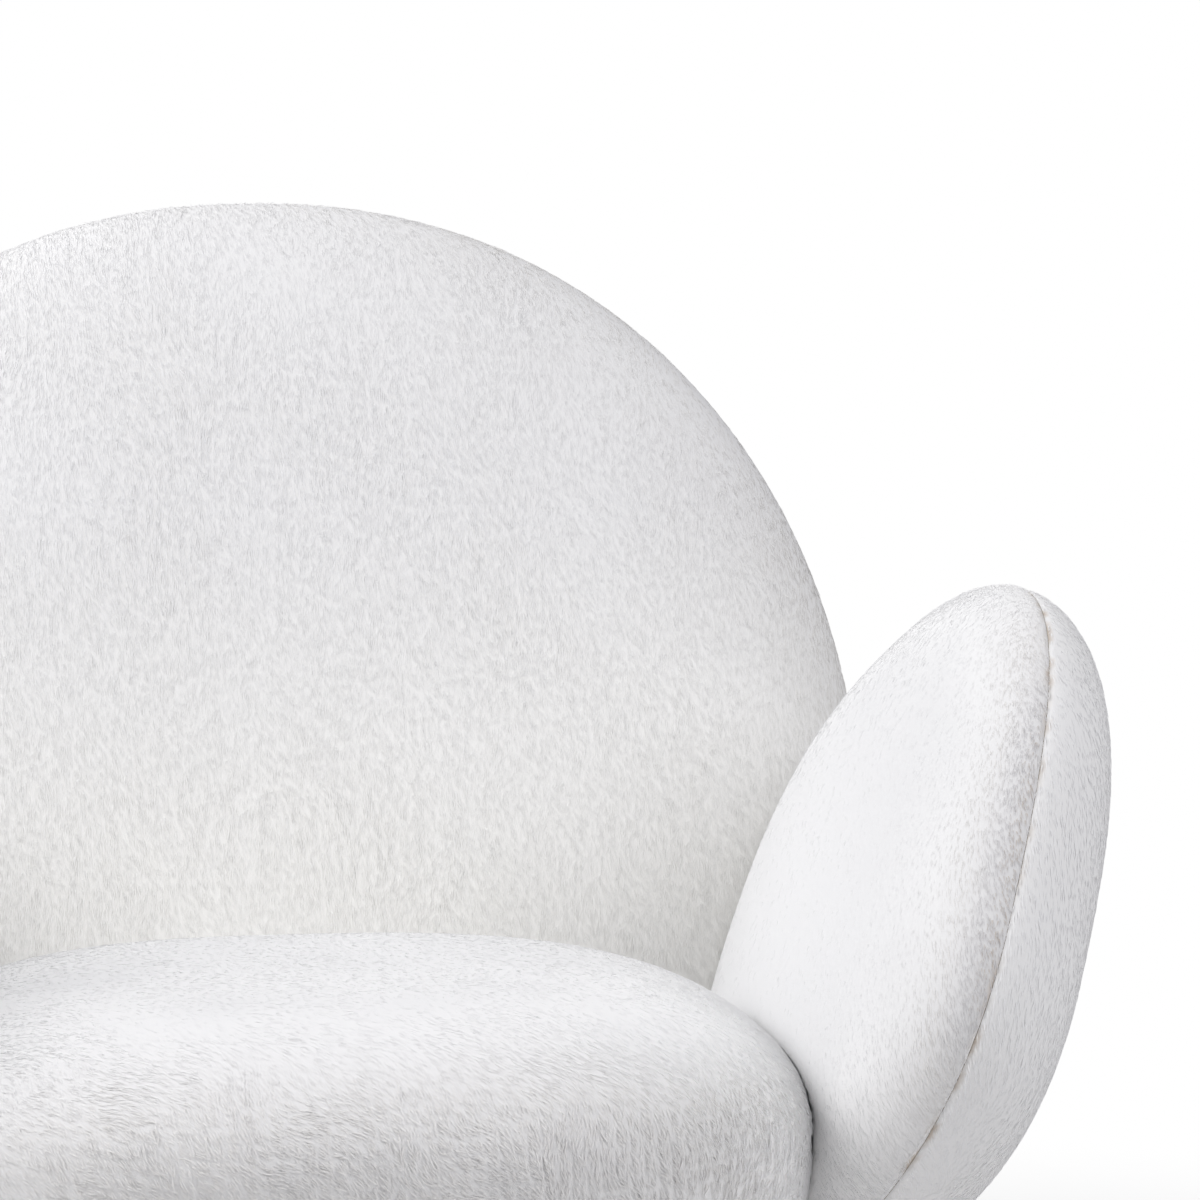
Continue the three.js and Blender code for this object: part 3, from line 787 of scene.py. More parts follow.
class Finishes:
    """Every finish of the chair, made once."""

    def __init__(self) -> None:
        """Makes the materials."""
        self.pile = PileFinish().material()
        self.ground = GroundFinish().material()
        self.lining = LiningFinish().material()
        self.frame_wood = WoodFinish(
            "frame_beech", dark=(0.44, 0.29, 0.16), pale=(0.62, 0.45, 0.28), along=(0.12, 1, 1),
            band_cycles=70.0, roughness=0.6, pore_depth=0.00025,
        ).material()
        self.leg_wood = WoodFinish(
            "leg_oak", dark=(0.40, 0.24, 0.11), pale=(0.58, 0.39, 0.21), along=(1, 1, 0.07),
            band_cycles=110.0, roughness=0.34, pore_depth=0.00012,
        ).material()
        self.steel = MetalFinish("zinc_steel", (0.62, 0.63, 0.64), 0.28).material()
        self.spring_steel = MetalFinish("spring_wire", (0.20, 0.205, 0.21), 0.34).material()
        self.felt = FeltFinish().material()
        self.dust_cover = CoverFinish().material()
        self.glide = GlideFinish().material()


# The pile

DRIFTS = (0.06, 0.017, 0.012, 0.03)  # wave lengths of slow turns, quick turns, height and tone
TUFT_KEYS = np.array([[12.99, 78.23, 37.72], [39.35, 11.14, 83.16], [73.16, 52.24, 9.15]])
TUFT_SCALE = 43758.5453  # large enough to leave chance in the digits after the point
TONES = np.array((-0.3, -0.04, -0.04, 0.12))  # of a strand's root, flanks and tip, from a middle tone
MIDDLE_TONE = 0.68


@dataclass(frozen=True)
class Nap:
    """How the pile lies on one cushion.

    Attributes:
        comb: The direction that the strands are brushed in.
        per_area: Strands in a square metre.
        length: A strand's mean length.
        breadth: A strand's breadth at its widest.
        stand: How high the strands' middles stand over their roots.
        stray: How far single strands turn from their neighbours, in radians.
        swirl: How far whole tufts turn, in radians.
        tuft: How far tips draw together, from 0 to 1.
        tuft_size: How wide a tuft is.
        coarse: How rough the pile is, from 0 to 1.
        patch: The width of its rougher and smoother patches.
        patchy: How much their roughness differs from the mean.
        calm: The direction that the smoothest part of the cushion faces, or zero for none.
        calming: How much less rough the pile is there, from 0 to 1.
        dusk: How much painted shade darkens the pile's tone where the cushion faces dusk_way.
        dusk_way: That direction.
        warmth: How much creamier the pile is painted low down, as warm bounce light, from 0 to 1.
        warm_from: The height from which down it grows creamier.
        warm_over: The height over which it does.
        drawn: How much slower the ground's streaks change along the comb than across it.
    """

    comb: Triple
    per_area: float = 400_000
    length: float = 0.0058
    breadth: float = 0.00034
    stand: float = 0.0011
    stray: float = 0.18
    swirl: float = 0.25
    tuft: float = 0.2
    tuft_size: float = 0.007
    coarse: float = 0.45
    patch: float = 0.11
    patchy: float = 0.25
    calm: Triple = (0, 0, 0)
    calming: float = 0.8
    dusk: float = 0.0
    dusk_way: Triple = (0, -1, 0)
    warmth: float = 0.0
    warm_from: float = 0.62
    warm_over: float = 0.2
    drawn: float = 0.13

    def streaks(self, points: Array) -> Array:
        """The points turned so that the third number runs along the comb, and drawn together along it."""
        way = unit(np.array(self.comb, float))
        side = unit(np.cross(way, (0.3, 0.9, 0.3)))
        return points @ np.stack([side, np.cross(way, side), self.drawn * way]).T

    @staticmethod
    def facing(normals: Array, way: Triple) -> Array:
        """How squarely each normal meets a direction, from 0 to 1: the cosine's square."""
        return (normals @ unit(np.array(way, float))).clip(0, 1) ** 2

    def roughness(self, points: Array, normals: Array, seed: int) -> Array:
        """How rough the pile is at each point: slow patches, smoothed where the cushion is calm."""
        patches = 1 + self.patchy * Drift(seed + 1, self.patch).at(points)
        rough = (self.coarse * patches).clip(0.1, 1.0)
        return rough * (1 - self.calming * self.facing(normals, self.calm))

    def dim(self, normals: Array) -> Array:
        """How much painted shade darkens the pile at each point."""
        return self.dusk * self.facing(normals, self.dusk_way)

    def warm(self, points: Array) -> Array:
        """How much painted warm bounce light creams the pile at each point, growing evenly with the depth
        under warm_from.
        """
        return self.warmth * ((self.warm_from - points[..., 2]) / self.warm_over).clip(0, 1)


@dataclass(frozen=True)
class Pile:
    """The strands on one cushion, each a closed sliver of four points: root, two flanks and tip.

    Attributes:
        name: The name of its pieces, before their numbers.
        nap: How the pile lies.
        seed: The seed of its draws.
        most: The most strands in a piece.
        kept: The share of strands that is kept, over the pile's roughness.
        bend: Where along a strand its flanks are.
        lengths: The least and the greatest length of a strand, as shares of the mean.
        rises: The same for the height of a tip over its strand's middle.
        breadths: The same for a strand's breadth.
        sunk: How deep the roots lie in the ground where the pile is calm, and how much more where
            it is rough.
        seam_shade: How much of its tone a strand loses on a seam, as painted shade of the seam's groove.
    """

    name: str
    nap: Nap
    seed: int
    most: int = 46_000
    kept: float = 4.0
    bend: float = 0.45
    lengths: tuple[float, float] = (0.7, 1.25)
    rises: tuple[float, float] = (0.85, 1.15)
    breadths: tuple[float, float] = (0.7, 1.2)
    sunk: tuple[float, float] = (0.0001, 0.0005)
    seam_shade: float = 0.85

    def roots(self, piece: Thing, rng: np.random.Generator) -> tuple[Array, Array]:
        """Scatters roots evenly by area over the faces that wear the first material.

        Args:
            piece: The cushion.
            rng: The source of the draws.

        Returns:
            The roots and the cushion's normals there.
        """
        mesh = piece.data
        mesh.calc_loop_triangles()
        slots = read(mesh.polygons, "material_index", 1, np.int32)
        owner = read(mesh.loop_triangles, "polygon_index", 1, np.int32)
        corners = read(mesh.loop_triangles, "vertices", 3, np.int32).astype(int)[slots[owner] == 0]
        points, normals = points_of(piece), normals_of(piece)
        a, b, c = (points[corners[:, i]] for i in range(3))
        area = np.linalg.norm(np.cross(b - a, c - a), axis=1) / 2
        wanted = int(area.sum() * self.nap.per_area)
        reach = np.cumsum(area)
        spot = (np.arange(wanted) + rng.random(wanted)) / wanted * reach[-1]
        chosen = np.searchsorted(reach, spot).clip(0, len(area) - 1)
        first, second = rng.random((2, wanted, 1))
        folded = first + second > 1
        first, second = np.where(folded, 1 - first, first), np.where(folded, 1 - second, second)
        third = 1 - first - second
        pick = corners[chosen]
        weights = np.stack([third, first, second], 1)
        return (weights * points[pick]).sum(1), unit((weights * normals[pick]).sum(1))

    def grow(self, piece: Thing, bare: Callable[[Array], Array],
             seam: Callable[[Array], Array], material: Material) -> None:
        """Grows the strands in pieces small enough to be kept whole.

        A strand leaves its root, rises to its flanks at its bend and lies down to its tip.
        Its direction is the comb's, turned by the swirl of its tuft and its own stray. Its tip is
        drawn towards the middle of the tuft that its root stands in.

        Args:
            piece: The cushion.
            bare: Says which roots have no strand because another cushion presses there.
            seam: How near to a seam each root is, from 0 to 1.
            material: The strands' finish.
        """
        nap = self.nap
        rng = np.random.default_rng(self.seed)
        roots, normals = self.roots(piece, rng)
        rough = nap.roughness(roots, normals, self.seed)
        kept = ~bare(roots) & (rng.random(len(roots)) < self.kept * rough)
        roots, normals, rough = roots[kept], normals[kept], rough[kept]
        count = len(roots)
        slow, quick, lift, shade = (
            Drift(self.seed + number, length).at(roots) for number, length in enumerate(DRIFTS, 2)
        )
        turn = nap.swirl * (0.6 * slow + 0.7 * rough * quick)
        turn += nap.stray * (0.4 + 0.6 * rough) * rng.normal(size=count)
        way = across(np.broadcast_to(np.array(nap.comb, float), roots.shape), normals)
        way = np.cos(turn)[:, None] * way + np.sin(turn)[:, None] * np.cross(normals, way)
        side = np.cross(normals, way)
        length = nap.length * rng.uniform(*self.lengths, count)
        rise = nap.stand * (0.08 + rough * (1.1 + 0.2 * rng.normal(size=count) + 0.35 * lift)).clip(0.06, 2.0)
        draw = self.to_tuft(roots, normals) * (nap.tuft * rough)[:, None]
        middle = roots + way * (self.bend * length)[:, None] + normals * (0.65 * rise)[:, None] + 0.4 * draw
        level = rise * rng.uniform(*self.rises, count)
        tip = roots + way * length[:, None] + normals * level[:, None] + draw
        half = side * (nap.breadth / 2 * (1.4 - 0.4 * rough) * rng.uniform(*self.breadths, count))[:, None]
        sunk = roots - normals * (self.sunk[0] + self.sunk[1] * rough)[:, None]
        points = np.stack([sunk, middle + half, middle - half, tip], 1)
        # A strand's tone drifts at random, less the painted shade where the cushion faces the painted shade's
        # way.
        own = rough * (0.09 * rng.normal(size=count) + 0.06 * shade) - nap.dim(normals)
        tone = MIDDLE_TONE + TONES * (0.15 + rough).clip(0, 1)[:, None] + own[:, None]
        # Painted shade of a seam's groove darkens the strands on it.
        tone *= (1 - self.seam_shade * seam(roots))[:, None]
        for number, start in enumerate(range(0, count, self.most), 1):
            part = slice(start, start + self.most)
            self.slivers(f"{self.name}_{number}", points[part], tone[part], material)
        log.info("%s has %d strands", self.name, count)

    def to_tuft(self, roots: Array, normals: Array) -> Array:
        """The way from each root, along the skin, to the middle of its tuft.

        Tufts stand in the cells of a cubic grid. Each strays from the middle of its cell by the part
        after the point of |TUFT_SCALE * sin(cell . key)|.

        Args:
            roots: The strands' roots.
            normals: The cushion's normals there.

        Returns:
            One vector for each root.
        """
        size = self.nap.tuft_size
        cell = np.floor(roots / size)
        stray = np.modf(np.abs(np.sin(cell @ TUFT_KEYS) * TUFT_SCALE))[0]
        draw = (cell + 0.25 + 0.5 * stray) * size - roots
        return draw - (draw * normals).sum(-1, keepdims=True) * normals

    def slivers(self, name: str, points: Array, tone: Array, material: Material) -> None:
        """Makes one object of slivers, whose map lays the faces by tone and by painted warm bounce light, on
        a small patch.

        Args:
            name: The object's name.
            points: Points as (strand, corner, xyz).
            tone: The tone of each point, from 0 at a dark root to 1 at a pale tip.
            material: The strands' finish.
        """
        sides = np.array([[0, 2, 1], [1, 2, 3], [0, 1, 3], [0, 3, 2]])
        faces = (sides + 4 * np.arange(len(points))[:, None, None]).reshape(-1, 3)
        made = new_object(name, points.reshape(-1, 3), faces, smooth=False)
        # How much painted warm bounce light each point holds.
        warm = self.nap.warm(points)
        mark(made, "tone", tone.ravel())
        mark(made, "warm", warm.ravel())
        drawn = np.stack([0.5 + 0.06 * tone, 0.1 * warm + (0.5, 0.505, 0.495, 0.5)], -1)
        laid = made.data.uv_layers.new(name="OFBake")
        laid.uv.foreach_set("vector", drawn.reshape(-1, 2)[faces.ravel()].astype(np.float32).ravel())
        made.data.materials.append(material)
        join(made)


# Cushions


@dataclass(frozen=True)
class Press:
    """A neighbour that dents a cushion.

    Attributes:
        lens: The neighbour's whole shape.
        way: The direction that it pushes the cushion's skin in.
        room: How far outside the neighbour the skin comes to lie.
        cover: How much further out no pile grows.
    """

    lens: Lens
    way: Triple
    room: float = -0.0008
    cover: float = 0.0012

    def dent(self, points: Array, room: float | None = None) -> Array:
        """The points pushed out of the neighbour."""
        return self.lens.pushed_out(points, self.way, self.room if room is None else room)

    def hides(self, points: Array) -> Array:
        """Whether each point lies where the two press together."""
        return self.lens.holds(points, self.room + self.cover)


@dataclass(frozen=True)
class Settling:
    """A short cloth simulation, in which a cushion's cover settles over the pressure of its filling.

    Attributes:
        voxel: The size of the simulated cover's faces.
        pressure: The filling's pressure.
        frames: How many steps are simulated.
        most: The furthest that a point of the cushion may move.
        rounds: How often each point's move is averaged with its neighbours' moves.
    """

    voxel: float = 0.009
    pressure: float = 4.0
    frames: int = 20
    most: float = 0.001
    rounds: int = 160

    def freeze(self, thing: Thing) -> None:
        """Makes an object's modifiers part of its mesh.

        Args:
            thing: The object.
        """
        shape = thing.evaluated_get(bpy.context.evaluated_depsgraph_get())
        mesh = bpy.data.meshes.new_from_object(shape)
        thing.modifiers.clear()
        thing.data = mesh

    def cover(self, piece: Thing) -> Thing:
        """Simulates a cushion's cover.

        Args:
            piece: The cushion.

        Returns:
            A copy of its skin, laid in even faces, simulated and made smooth.
        """
        made = bpy.data.objects.new("cover", piece.data.copy())
        bpy.context.scene.collection.objects.link(made)
        grid = made.modifiers.new("grid", "REMESH")
        grid.mode, grid.voxel_size = "VOXEL", self.voxel
        self.freeze(made)
        cloth = made.modifiers.new("cloth", "CLOTH")
        cloth.settings.use_pressure = True
        cloth.settings.uniform_pressure_force = self.pressure
        cloth.settings.effector_weights.gravity = 0
        cloth.point_cache.frame_end = self.frames
        for number in range(1, self.frames + 1):
            bpy.context.scene.frame_set(number)
        self.freeze(made)
        bpy.context.scene.frame_set(1)
        smooth = made.modifiers.new("smooth", "SUBSURF")
        smooth.levels = smooth.render_levels = 1
        self.freeze(made)
        return made

    def moves(self, piece: Thing, held: Array) -> Array:
        """How far each point of a cushion moves along its normal onto the simulated cover.

        The moves are averaged with their neighbours' while the held points stay, so they fade out
        towards those.

        Args:
            piece: The cushion.
            held: Whether each point stays where it is.

        Returns:
            One distance for each point, from -most to most.
        """
        cover = self.cover(piece)
        wrap = piece.modifiers.new("wrap", "SHRINKWRAP")
        wrap.target = cover
        shape = piece.evaluated_get(bpy.context.evaluated_depsgraph_get())
        after = points_of(shape)
        piece.modifiers.remove(wrap)
        bpy.data.objects.remove(cover)
        move = ((after - points_of(piece)) * normals_of(piece)).sum(-1).clip(-self.most, self.most)
        edges = read(piece.data.edges, "vertices", 2, np.int32).astype(int)
        ends, others = np.concatenate([edges, edges[:, ::-1]]).T
        joined = np.bincount(ends, minlength=len(move)).clip(1)
        for _ in range(self.rounds):
            move = np.where(held, 0, move + np.bincount(ends, move[others], len(move)) / joined) / 2
        return move


@dataclass(frozen=True)
class Cushion:
    """One pad: a lens or one side of it, its dents and its pile.

    Attributes:
        name: The piece's name.
        node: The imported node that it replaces.
        lens: The whole lens.
        nap: How its pile lies.
        seed: The seed of its pile.
        presses: The neighbours that dent it.
        touches: The neighbours that it dents.
        side: The side of the chair.
        depth: How far the ground lies under the pile's surface.
        groove: How far the seam is drawn in.
        groove_width: How wide that groove is.
        stitch: How clearly the seam shows through the pile, from 0 to 1.
        stitch_width: How far from the seam it shows.
        stitch_run: The mean length of the stretches in which it shows more or less.
        steps: Points round the seam.
        dome_rings: Rings from a dome's middle to the seam.
        settling: The simulation of its cover.
        fade: How far from a seam or neighbour the cover is held.
    """

    name: str
    node: str
    lens: Lens
    nap: Nap
    seed: int
    presses: Sequence[Press] = ()
    touches: Sequence[Lens] = ()
    side: Side = Side.LEFT
    depth: float = 0.0018
    groove: float = 0.0004
    groove_width: float = 0.003
    stitch: float = 1.0
    stitch_width: float = 0.0015
    stitch_run: float = 0.02
    steps: int = 176
    dome_rings: int = 44
    settling: Settling = Settling()
    fade: float = 0.03

    def outline(self, grow: float, level: float) -> Array:
        """One ring of local points on the oval, at a level."""
        edge = self.lens.oval.outline(np.arange(self.steps) / self.steps * 2 * pi, grow)
        return np.concatenate([edge, np.full((self.steps, 1), level)], 1)

    def dome(self, half: Half) -> Array:
        """A dome's rings from its middle to the seam, drawn in along the groove.

        The shares go as the sine of an even angle, so that rings crowd towards the seam, and the
        groove takes groove * exp(-(level / groove_width)^2) off the outline.

        Args:
            half: The side of the seam.

        Returns:
            Local points as (ring, step, xyz).
        """
        dome = self.lens.upper if half is Half.UPPER else self.lens.lower
        share = np.sin(np.linspace(0, pi / 2, self.dome_rings))[:, None, None]
        level = dome.level(share, -self.depth)
        edge = self.outline(-self.depth, 0)[None, :, :2]
        drawn = self.groove * np.exp(-((level / self.groove_width) ** 2))
        flat = edge * share * (1 - drawn / np.linalg.norm(edge, axis=-1, keepdims=True))
        return np.concatenate([flat, np.broadcast_to(half.value * level, flat.shape[:2] + (1,))], -1)

    def dented(self, points: Array, room: float | None = None) -> Array:
        """Points of the chair after every neighbour has pressed on them."""
        for press in self.presses:
            points = press.dent(points, room)
        return points

    def bare(self, points: Array) -> Array:
        """Whether each point has no pile because it lies against a neighbour."""
        pressed = [press.hides(points) for press in self.presses]
        touched = [lens.holds(points, -self.depth) for lens in self.touches]
        return np.any([*pressed, *touched, np.zeros(len(points), bool)], 0)

    def seam(self, points: Array) -> Array:
        """How near each point is to the seam: exp(-(level / stitch_width)^2), in broken stretches."""
        level = self.lens.stand.back(points)[..., 2]
        broken = (0.1 + 0.8 * Drift(self.seed, self.stitch_run).at(points)).clip(0, 1)
        return self.stitch * np.exp(-((level / self.stitch_width) ** 2)) * broken

    def make(self, rings: Array, lined: Array, cuts: Sequence[Box], finishes: Finishes) -> None:
        """Makes the cushion and its pile.

        Args:
            rings: The skin's points as (ring, step, xyz), in the chair's frame.
            lined: For each band between two rings, whether it is lined and not covered in pile.
            cuts: Boxes that blocks pass through.
            finishes: The chair's finishes.
        """
        piece = skin(self.name, rings, self.side)
        mesh = piece.data
        mesh.materials.append(finishes.ground)
        mesh.materials.append(finishes.lining)
        mesh.polygons.foreach_set("material_index", np.repeat(lined, self.steps).astype(np.int32))
        carve(piece, cuts, 1)
        self.settle(piece)
        points, normals = points_of(piece), normals_of(piece)
        mark(piece, "seam", self.seam(points))
        # Painted shade by the way the cushion faces, for the ground's finish to read.
        mark(piece, "dusk", self.nap.dim(normals))
        # Painted warm bounce light, creamier low down.
        mark(piece, "warm", self.nap.warm(points))
        mark(piece, "rough", self.nap.roughness(points, normals, self.seed))
        mark(piece, "nap", self.nap.streaks(points))
        join(piece, self.node)
        Pile(f"{self.name}_pile", self.nap, self.seed).grow(piece, self.bare, self.seam, finishes.pile)

    def settle(self, piece: Thing) -> None:
        """Lets the cover settle where it is free: off the seam, the linings and the neighbours.

        A point's share of the move is 1 - exp(-(level / fade)^2) away from the seam's plane.

        Args:
            piece: The cushion.
        """
        points = points_of(piece)
        level = self.lens.stand.back(points)[:, 2]
        slots = read(piece.data.polygons, "material_index", 1, np.int32)
        owner = np.repeat(slots, read(piece.data.polygons, "loop_total", 1, np.int32))
        lined = np.zeros(len(points), bool)
        lined[read(piece.data.loops, "vertex_index", 1, np.int32)[owner == 1]] = True
        pressed = [press.lens.holds(points, self.fade) for press in self.presses]
        touched = [lens.holds(points, 0.0) for lens in self.touches]
        move = self.settling.moves(piece, np.any([lined, *pressed, *touched], 0))
        move *= 1 - np.exp(-((level / self.fade) ** 2)) * (self.groove > 0)
        points += move[:, None] * normals_of(piece)
        piece.data.vertices.foreach_set("co", points.astype(np.float32).ravel())
        piece.data.update()
        log.info("%s settles by up to %.1f mm", piece.name, 1000 * np.abs(move).max())

    def half(self, half: Half, finishes: Finishes, board_inset: float = 0.0, board: float = 0.0,
             board_room: float = 0.0, cuts: Sequence[Box] = ()) -> None:
        """Makes a pad that fills one side of the lens, with a pocket for its board.

        Args:
            half: The side that it fills.
            finishes: The chair's finishes.
            board_inset: From the seam to the pocket's wall.
            board: How deep the pocket is, or 0 for none.
            board_room: How far the pocket keeps from the neighbours.
            cuts: Boxes that blocks pass through.
        """
        out = self.lens.stand.out
        dome = self.dented(out(self.dome(half)))
        if half is Half.LOWER:
            base = self.dented(out(np.zeros((1, self.steps, 3)) - (0, 0, GAP)))
            rings = np.concatenate([base, dome[::-1] - GAP * np.array(self.lens.stand.normal)])
            lined = np.arange(len(rings) - 1) < 1
        else:
            pocket = [self.outline(-board_inset, 0), self.outline(-board_inset, board)]
            pocket = self.dented(out(np.stack(pocket)), board_room)
            floor = out(np.broadcast_to(np.array((0, 0, board)), (1, self.steps, 3)))
            rings = np.concatenate([dome, pocket, floor])
            lined = np.arange(len(rings) - 1) >= len(dome) - 1
        self.make(rings, lined, cuts, finishes)


def axes(tilt: float) -> tuple[float, float]:
    """The sine and cosine of an angle in degrees."""
    return sin(radians(tilt)), cos(radians(tilt))


@dataclass(frozen=True)
class Seat:
    """The seat cushion: a crown above, a fuller side below and a pocket for the seat frame.

    Its middle lies front_to_rail behind the left rail's front end, and rise above the rail's underside.
    """

    half_width: float = 0.234
    front: float = 0.223
    rear: float = 0.260
    crown: float = 0.074
    under: float = 0.125
    power: float = 2.7
    crown_power: float = 3.6
    under_power: float = 7.0
    tilt: float = 2.1
    front_to_rail: float = 0.120
    rise: float = 0.0966
    ring_inset: float = 0.0354
    spring_room: float = 0.012
    under_hem: float = 0.03
    window_depth: float = 0.01

    @property
    def middle(self) -> Array:
        """The middle of the cushion's widest part."""
        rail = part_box("seat_left_rail")[0]
        return np.array((0, rail.y + self.front_to_rail, rail.z + self.rise))

    @property
    def lens(self) -> Lens:
        """The whole cushion before it is cut and dented."""
        s, c = axes(self.tilt)
        oval = Oval(self.half_width, self.half_width, self.front, self.rear, self.power)
        stand = Stand(self.middle, (-1, 0, 0), (0, -c, s), (0, s, c))
        return Lens(oval, Dome(self.crown, self.crown_power), Dome(self.under, self.under_power), stand)

    def build(self, back: Lens, arms: Sequence[Lens], finishes: Finishes) -> None:
        """Makes the seat cushion.

        Args:
            back: The back that presses into its rear.
            arms: The arms that it presses into.
            finishes: The chair's finishes.
        """
        nap = Nap(
            comb=(0.55, -0.75, -0.35), swirl=0.4, tuft=0.7, stand=0.0016, coarse=0.6,
            # Painted shade darkens the seat's front.
            calm=(0, 0.2, 0.98), calming=0.93, dusk=0.34, dusk_way=(0, -0.97, 0.24),
        )
        cushion = Cushion(
            "seat_cushion", "seat_pad", self.lens, nap, 11, (Press(back, (0, -1, 0)),), arms,
            groove=0, stitch=0,
        )
        rails = Box.of("seat_left_rail")
        ring = Box.of("seat_ring")
        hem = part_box("seat_pad")[0].z
        out = self.lens.stand.out
        crown = out(cushion.dome(Half.UPPER))
        under = out(cushion.dome(Half.LOWER)[::-1][1:])
        under = under[under[:, 0, 2] > hem - self.under_hem]
        under[..., 2] = np.maximum(under[..., 2], hem)
        skin_rings = cushion.dented(np.concatenate([crown, under]))
        pocket = self.pocket(cushion, rails, ring, hem)
        rings = np.concatenate([skin_rings, pocket])
        level = (skin_rings[:, :, 2] < hem + 1e-5).all(1)
        lined = np.concatenate([level, np.ones(len(pocket) - 1, bool)])
        cuts = []
        for node in ("arm_left_block", "arm_right_block", "back_left_block", "back_right_block"):
            block = Box.window(node)
            cuts.append(Box(np.array((*block.low[:2], hem - self.window_depth)), block.high))
        cushion.make(rings, lined, cuts, finishes)

    def pocket(self, cushion: Cushion, rails: Box, ring: Box, hem: float) -> Array:
        """The rings of the pocket that holds the rails, the plywood ring and the springs.

        Each ring is an oval or a rectangle, met by the same rays from the seat's middle.

        Args:
            cushion: The cushion.
            rails: The box of the left rail, which is as long as the frame.
            ring: The box of the plywood ring.
            hem: The level of the cushion's underside.

        Returns:
            Points as (ring, step, xyz), the last ring a single point.
        """
        middle = self.middle
        wide = cushion.outline(-self.ring_inset, 0) * (-1, -1, 0)
        frame_box = self.rectangle(wide, rails.high[0] + GAP, rails.low[1] - GAP - middle[1],
                                   rails.high[1] + GAP - middle[1])
        front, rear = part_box("seat_front_rail"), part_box("seat_rear_rail")
        opening = self.rectangle(wide, front[1].x, front[0].y - self.spring_room - middle[1],
                                 rear[1].y + self.spring_room - middle[1])
        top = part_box("spring_felt")[1].z + GAP
        base = middle * (1, 1, 0)
        pressed = cushion.dented(base + wide + (0, 0, ring.high[2]), BOARD_ROOM)
        levels = [
            (base + frame_box, hem), (base + frame_box, ring.low[2] - GAP), (pressed, ring.low[2] - GAP),
            (pressed, ring.high[2] + GAP), (base + opening, ring.high[2] + GAP), (base + opening, top),
            (base + 0 * opening, top),
        ]
        return np.stack([flat * (1, 1, 0) + (0, 0, level) for flat, level in levels])

    @staticmethod
    def rectangle(rays: Array, half_width: float, front: float, rear: float) -> Array:
        """Where rays from the middle meet an upright rectangle, with the nearest ray drawn to each corner.

        Args:
            rays: One point on each ray.
            half_width: Half the rectangle's width.
            front: Its front edge, below zero.
            rear: Its rear edge.

        Returns:
            One point for each ray.
        """
        x, y = rays[:, 0], rays[:, 1]
        edge = np.where(y > 0, rear, front)
        with np.errstate(divide="ignore"):
            reach = np.minimum(half_width / np.abs(x), edge / y)
        met = rays * np.nan_to_num(reach, posinf=1e3)[:, None]
        for corner in ((half_width, rear), (-half_width, rear), (-half_width, front), (half_width, front)):
            nearest = np.argmin(np.linalg.norm(met[:, :2] - corner, axis=1))
            met[nearest, :2] = corner
        return met


@dataclass(frozen=True)
class Back:
    """The back: a front and a rear pad with a board between them, reclined."""

    half_width: float = 0.324
    up: float = 0.352
    down: float = 0.218
    front_dome: float = 0.061
    rear_dome: float = 0.060
    power: float = 2.15
    dome_power: float = 3.4
    recline: float = 17.3
    behind_seat: float = 0.313
    above_seat: float = 0.085
    board_inset: float = 0.0337
    board: float = 0.0153

    def lens(self, seat: Seat) -> Lens:
        """Places the back behind and above the seat's middle.

        Args:
            seat: The seat.

        Returns:
            The whole back before it is dented.
        """
        s, c = axes(self.recline)
        oval = Oval(self.half_width, self.half_width, self.up, self.down, self.power)
        centre = seat.middle + (0, self.behind_seat, self.above_seat)
        stand = Stand(centre, (1, 0, 0), (0, s, c), (0, -c, s))
        front, rear = (Dome(rise, self.dome_power) for rise in (self.front_dome, self.rear_dome))
        return Lens(oval, front, rear, stand)

    def build(self, seat: Seat, arms: Sequence[Lens], finishes: Finishes) -> None:
        """Makes the back's two pads.

        Args:
            seat: The seat, which the back presses into.
            arms: The arms, which it presses into too.
            finishes: The chair's finishes.
        """
        lens = self.lens(seat)
        down = Nap(
            comb=(0.06, -0.3, -1.0), stand=0.001, calm=(0.75, -0.3, 0.6),
            # Painted shade on the back's rim that faces away from the key lamp, and painted warm bounce light
            # low down.
            dusk=0.36, dusk_way=(0.8, -0.2, 0.55), warmth=0.4,
        )
        touches = (seat.lens, *arms)
        windows = [Box.window(f"back_{side.word}_block") for side in Side]
        front = Cushion(
            "back_front_cushion", "back_front_pad", lens, down, 21, touches=touches, stitch=0.2,
        )
        front.half(Half.UPPER, finishes, self.board_inset, self.board, cuts=windows)
        coarse = Nap(comb=(0.0, 0.3, -1.0), per_area=115_000, breadth=0.0006)
        rear = Cushion(
            "back_rear_cushion", "back_rear_pad", lens, coarse, 31, touches=touches, stitch=0.2,
        )
        rear.half(Half.LOWER, finishes)


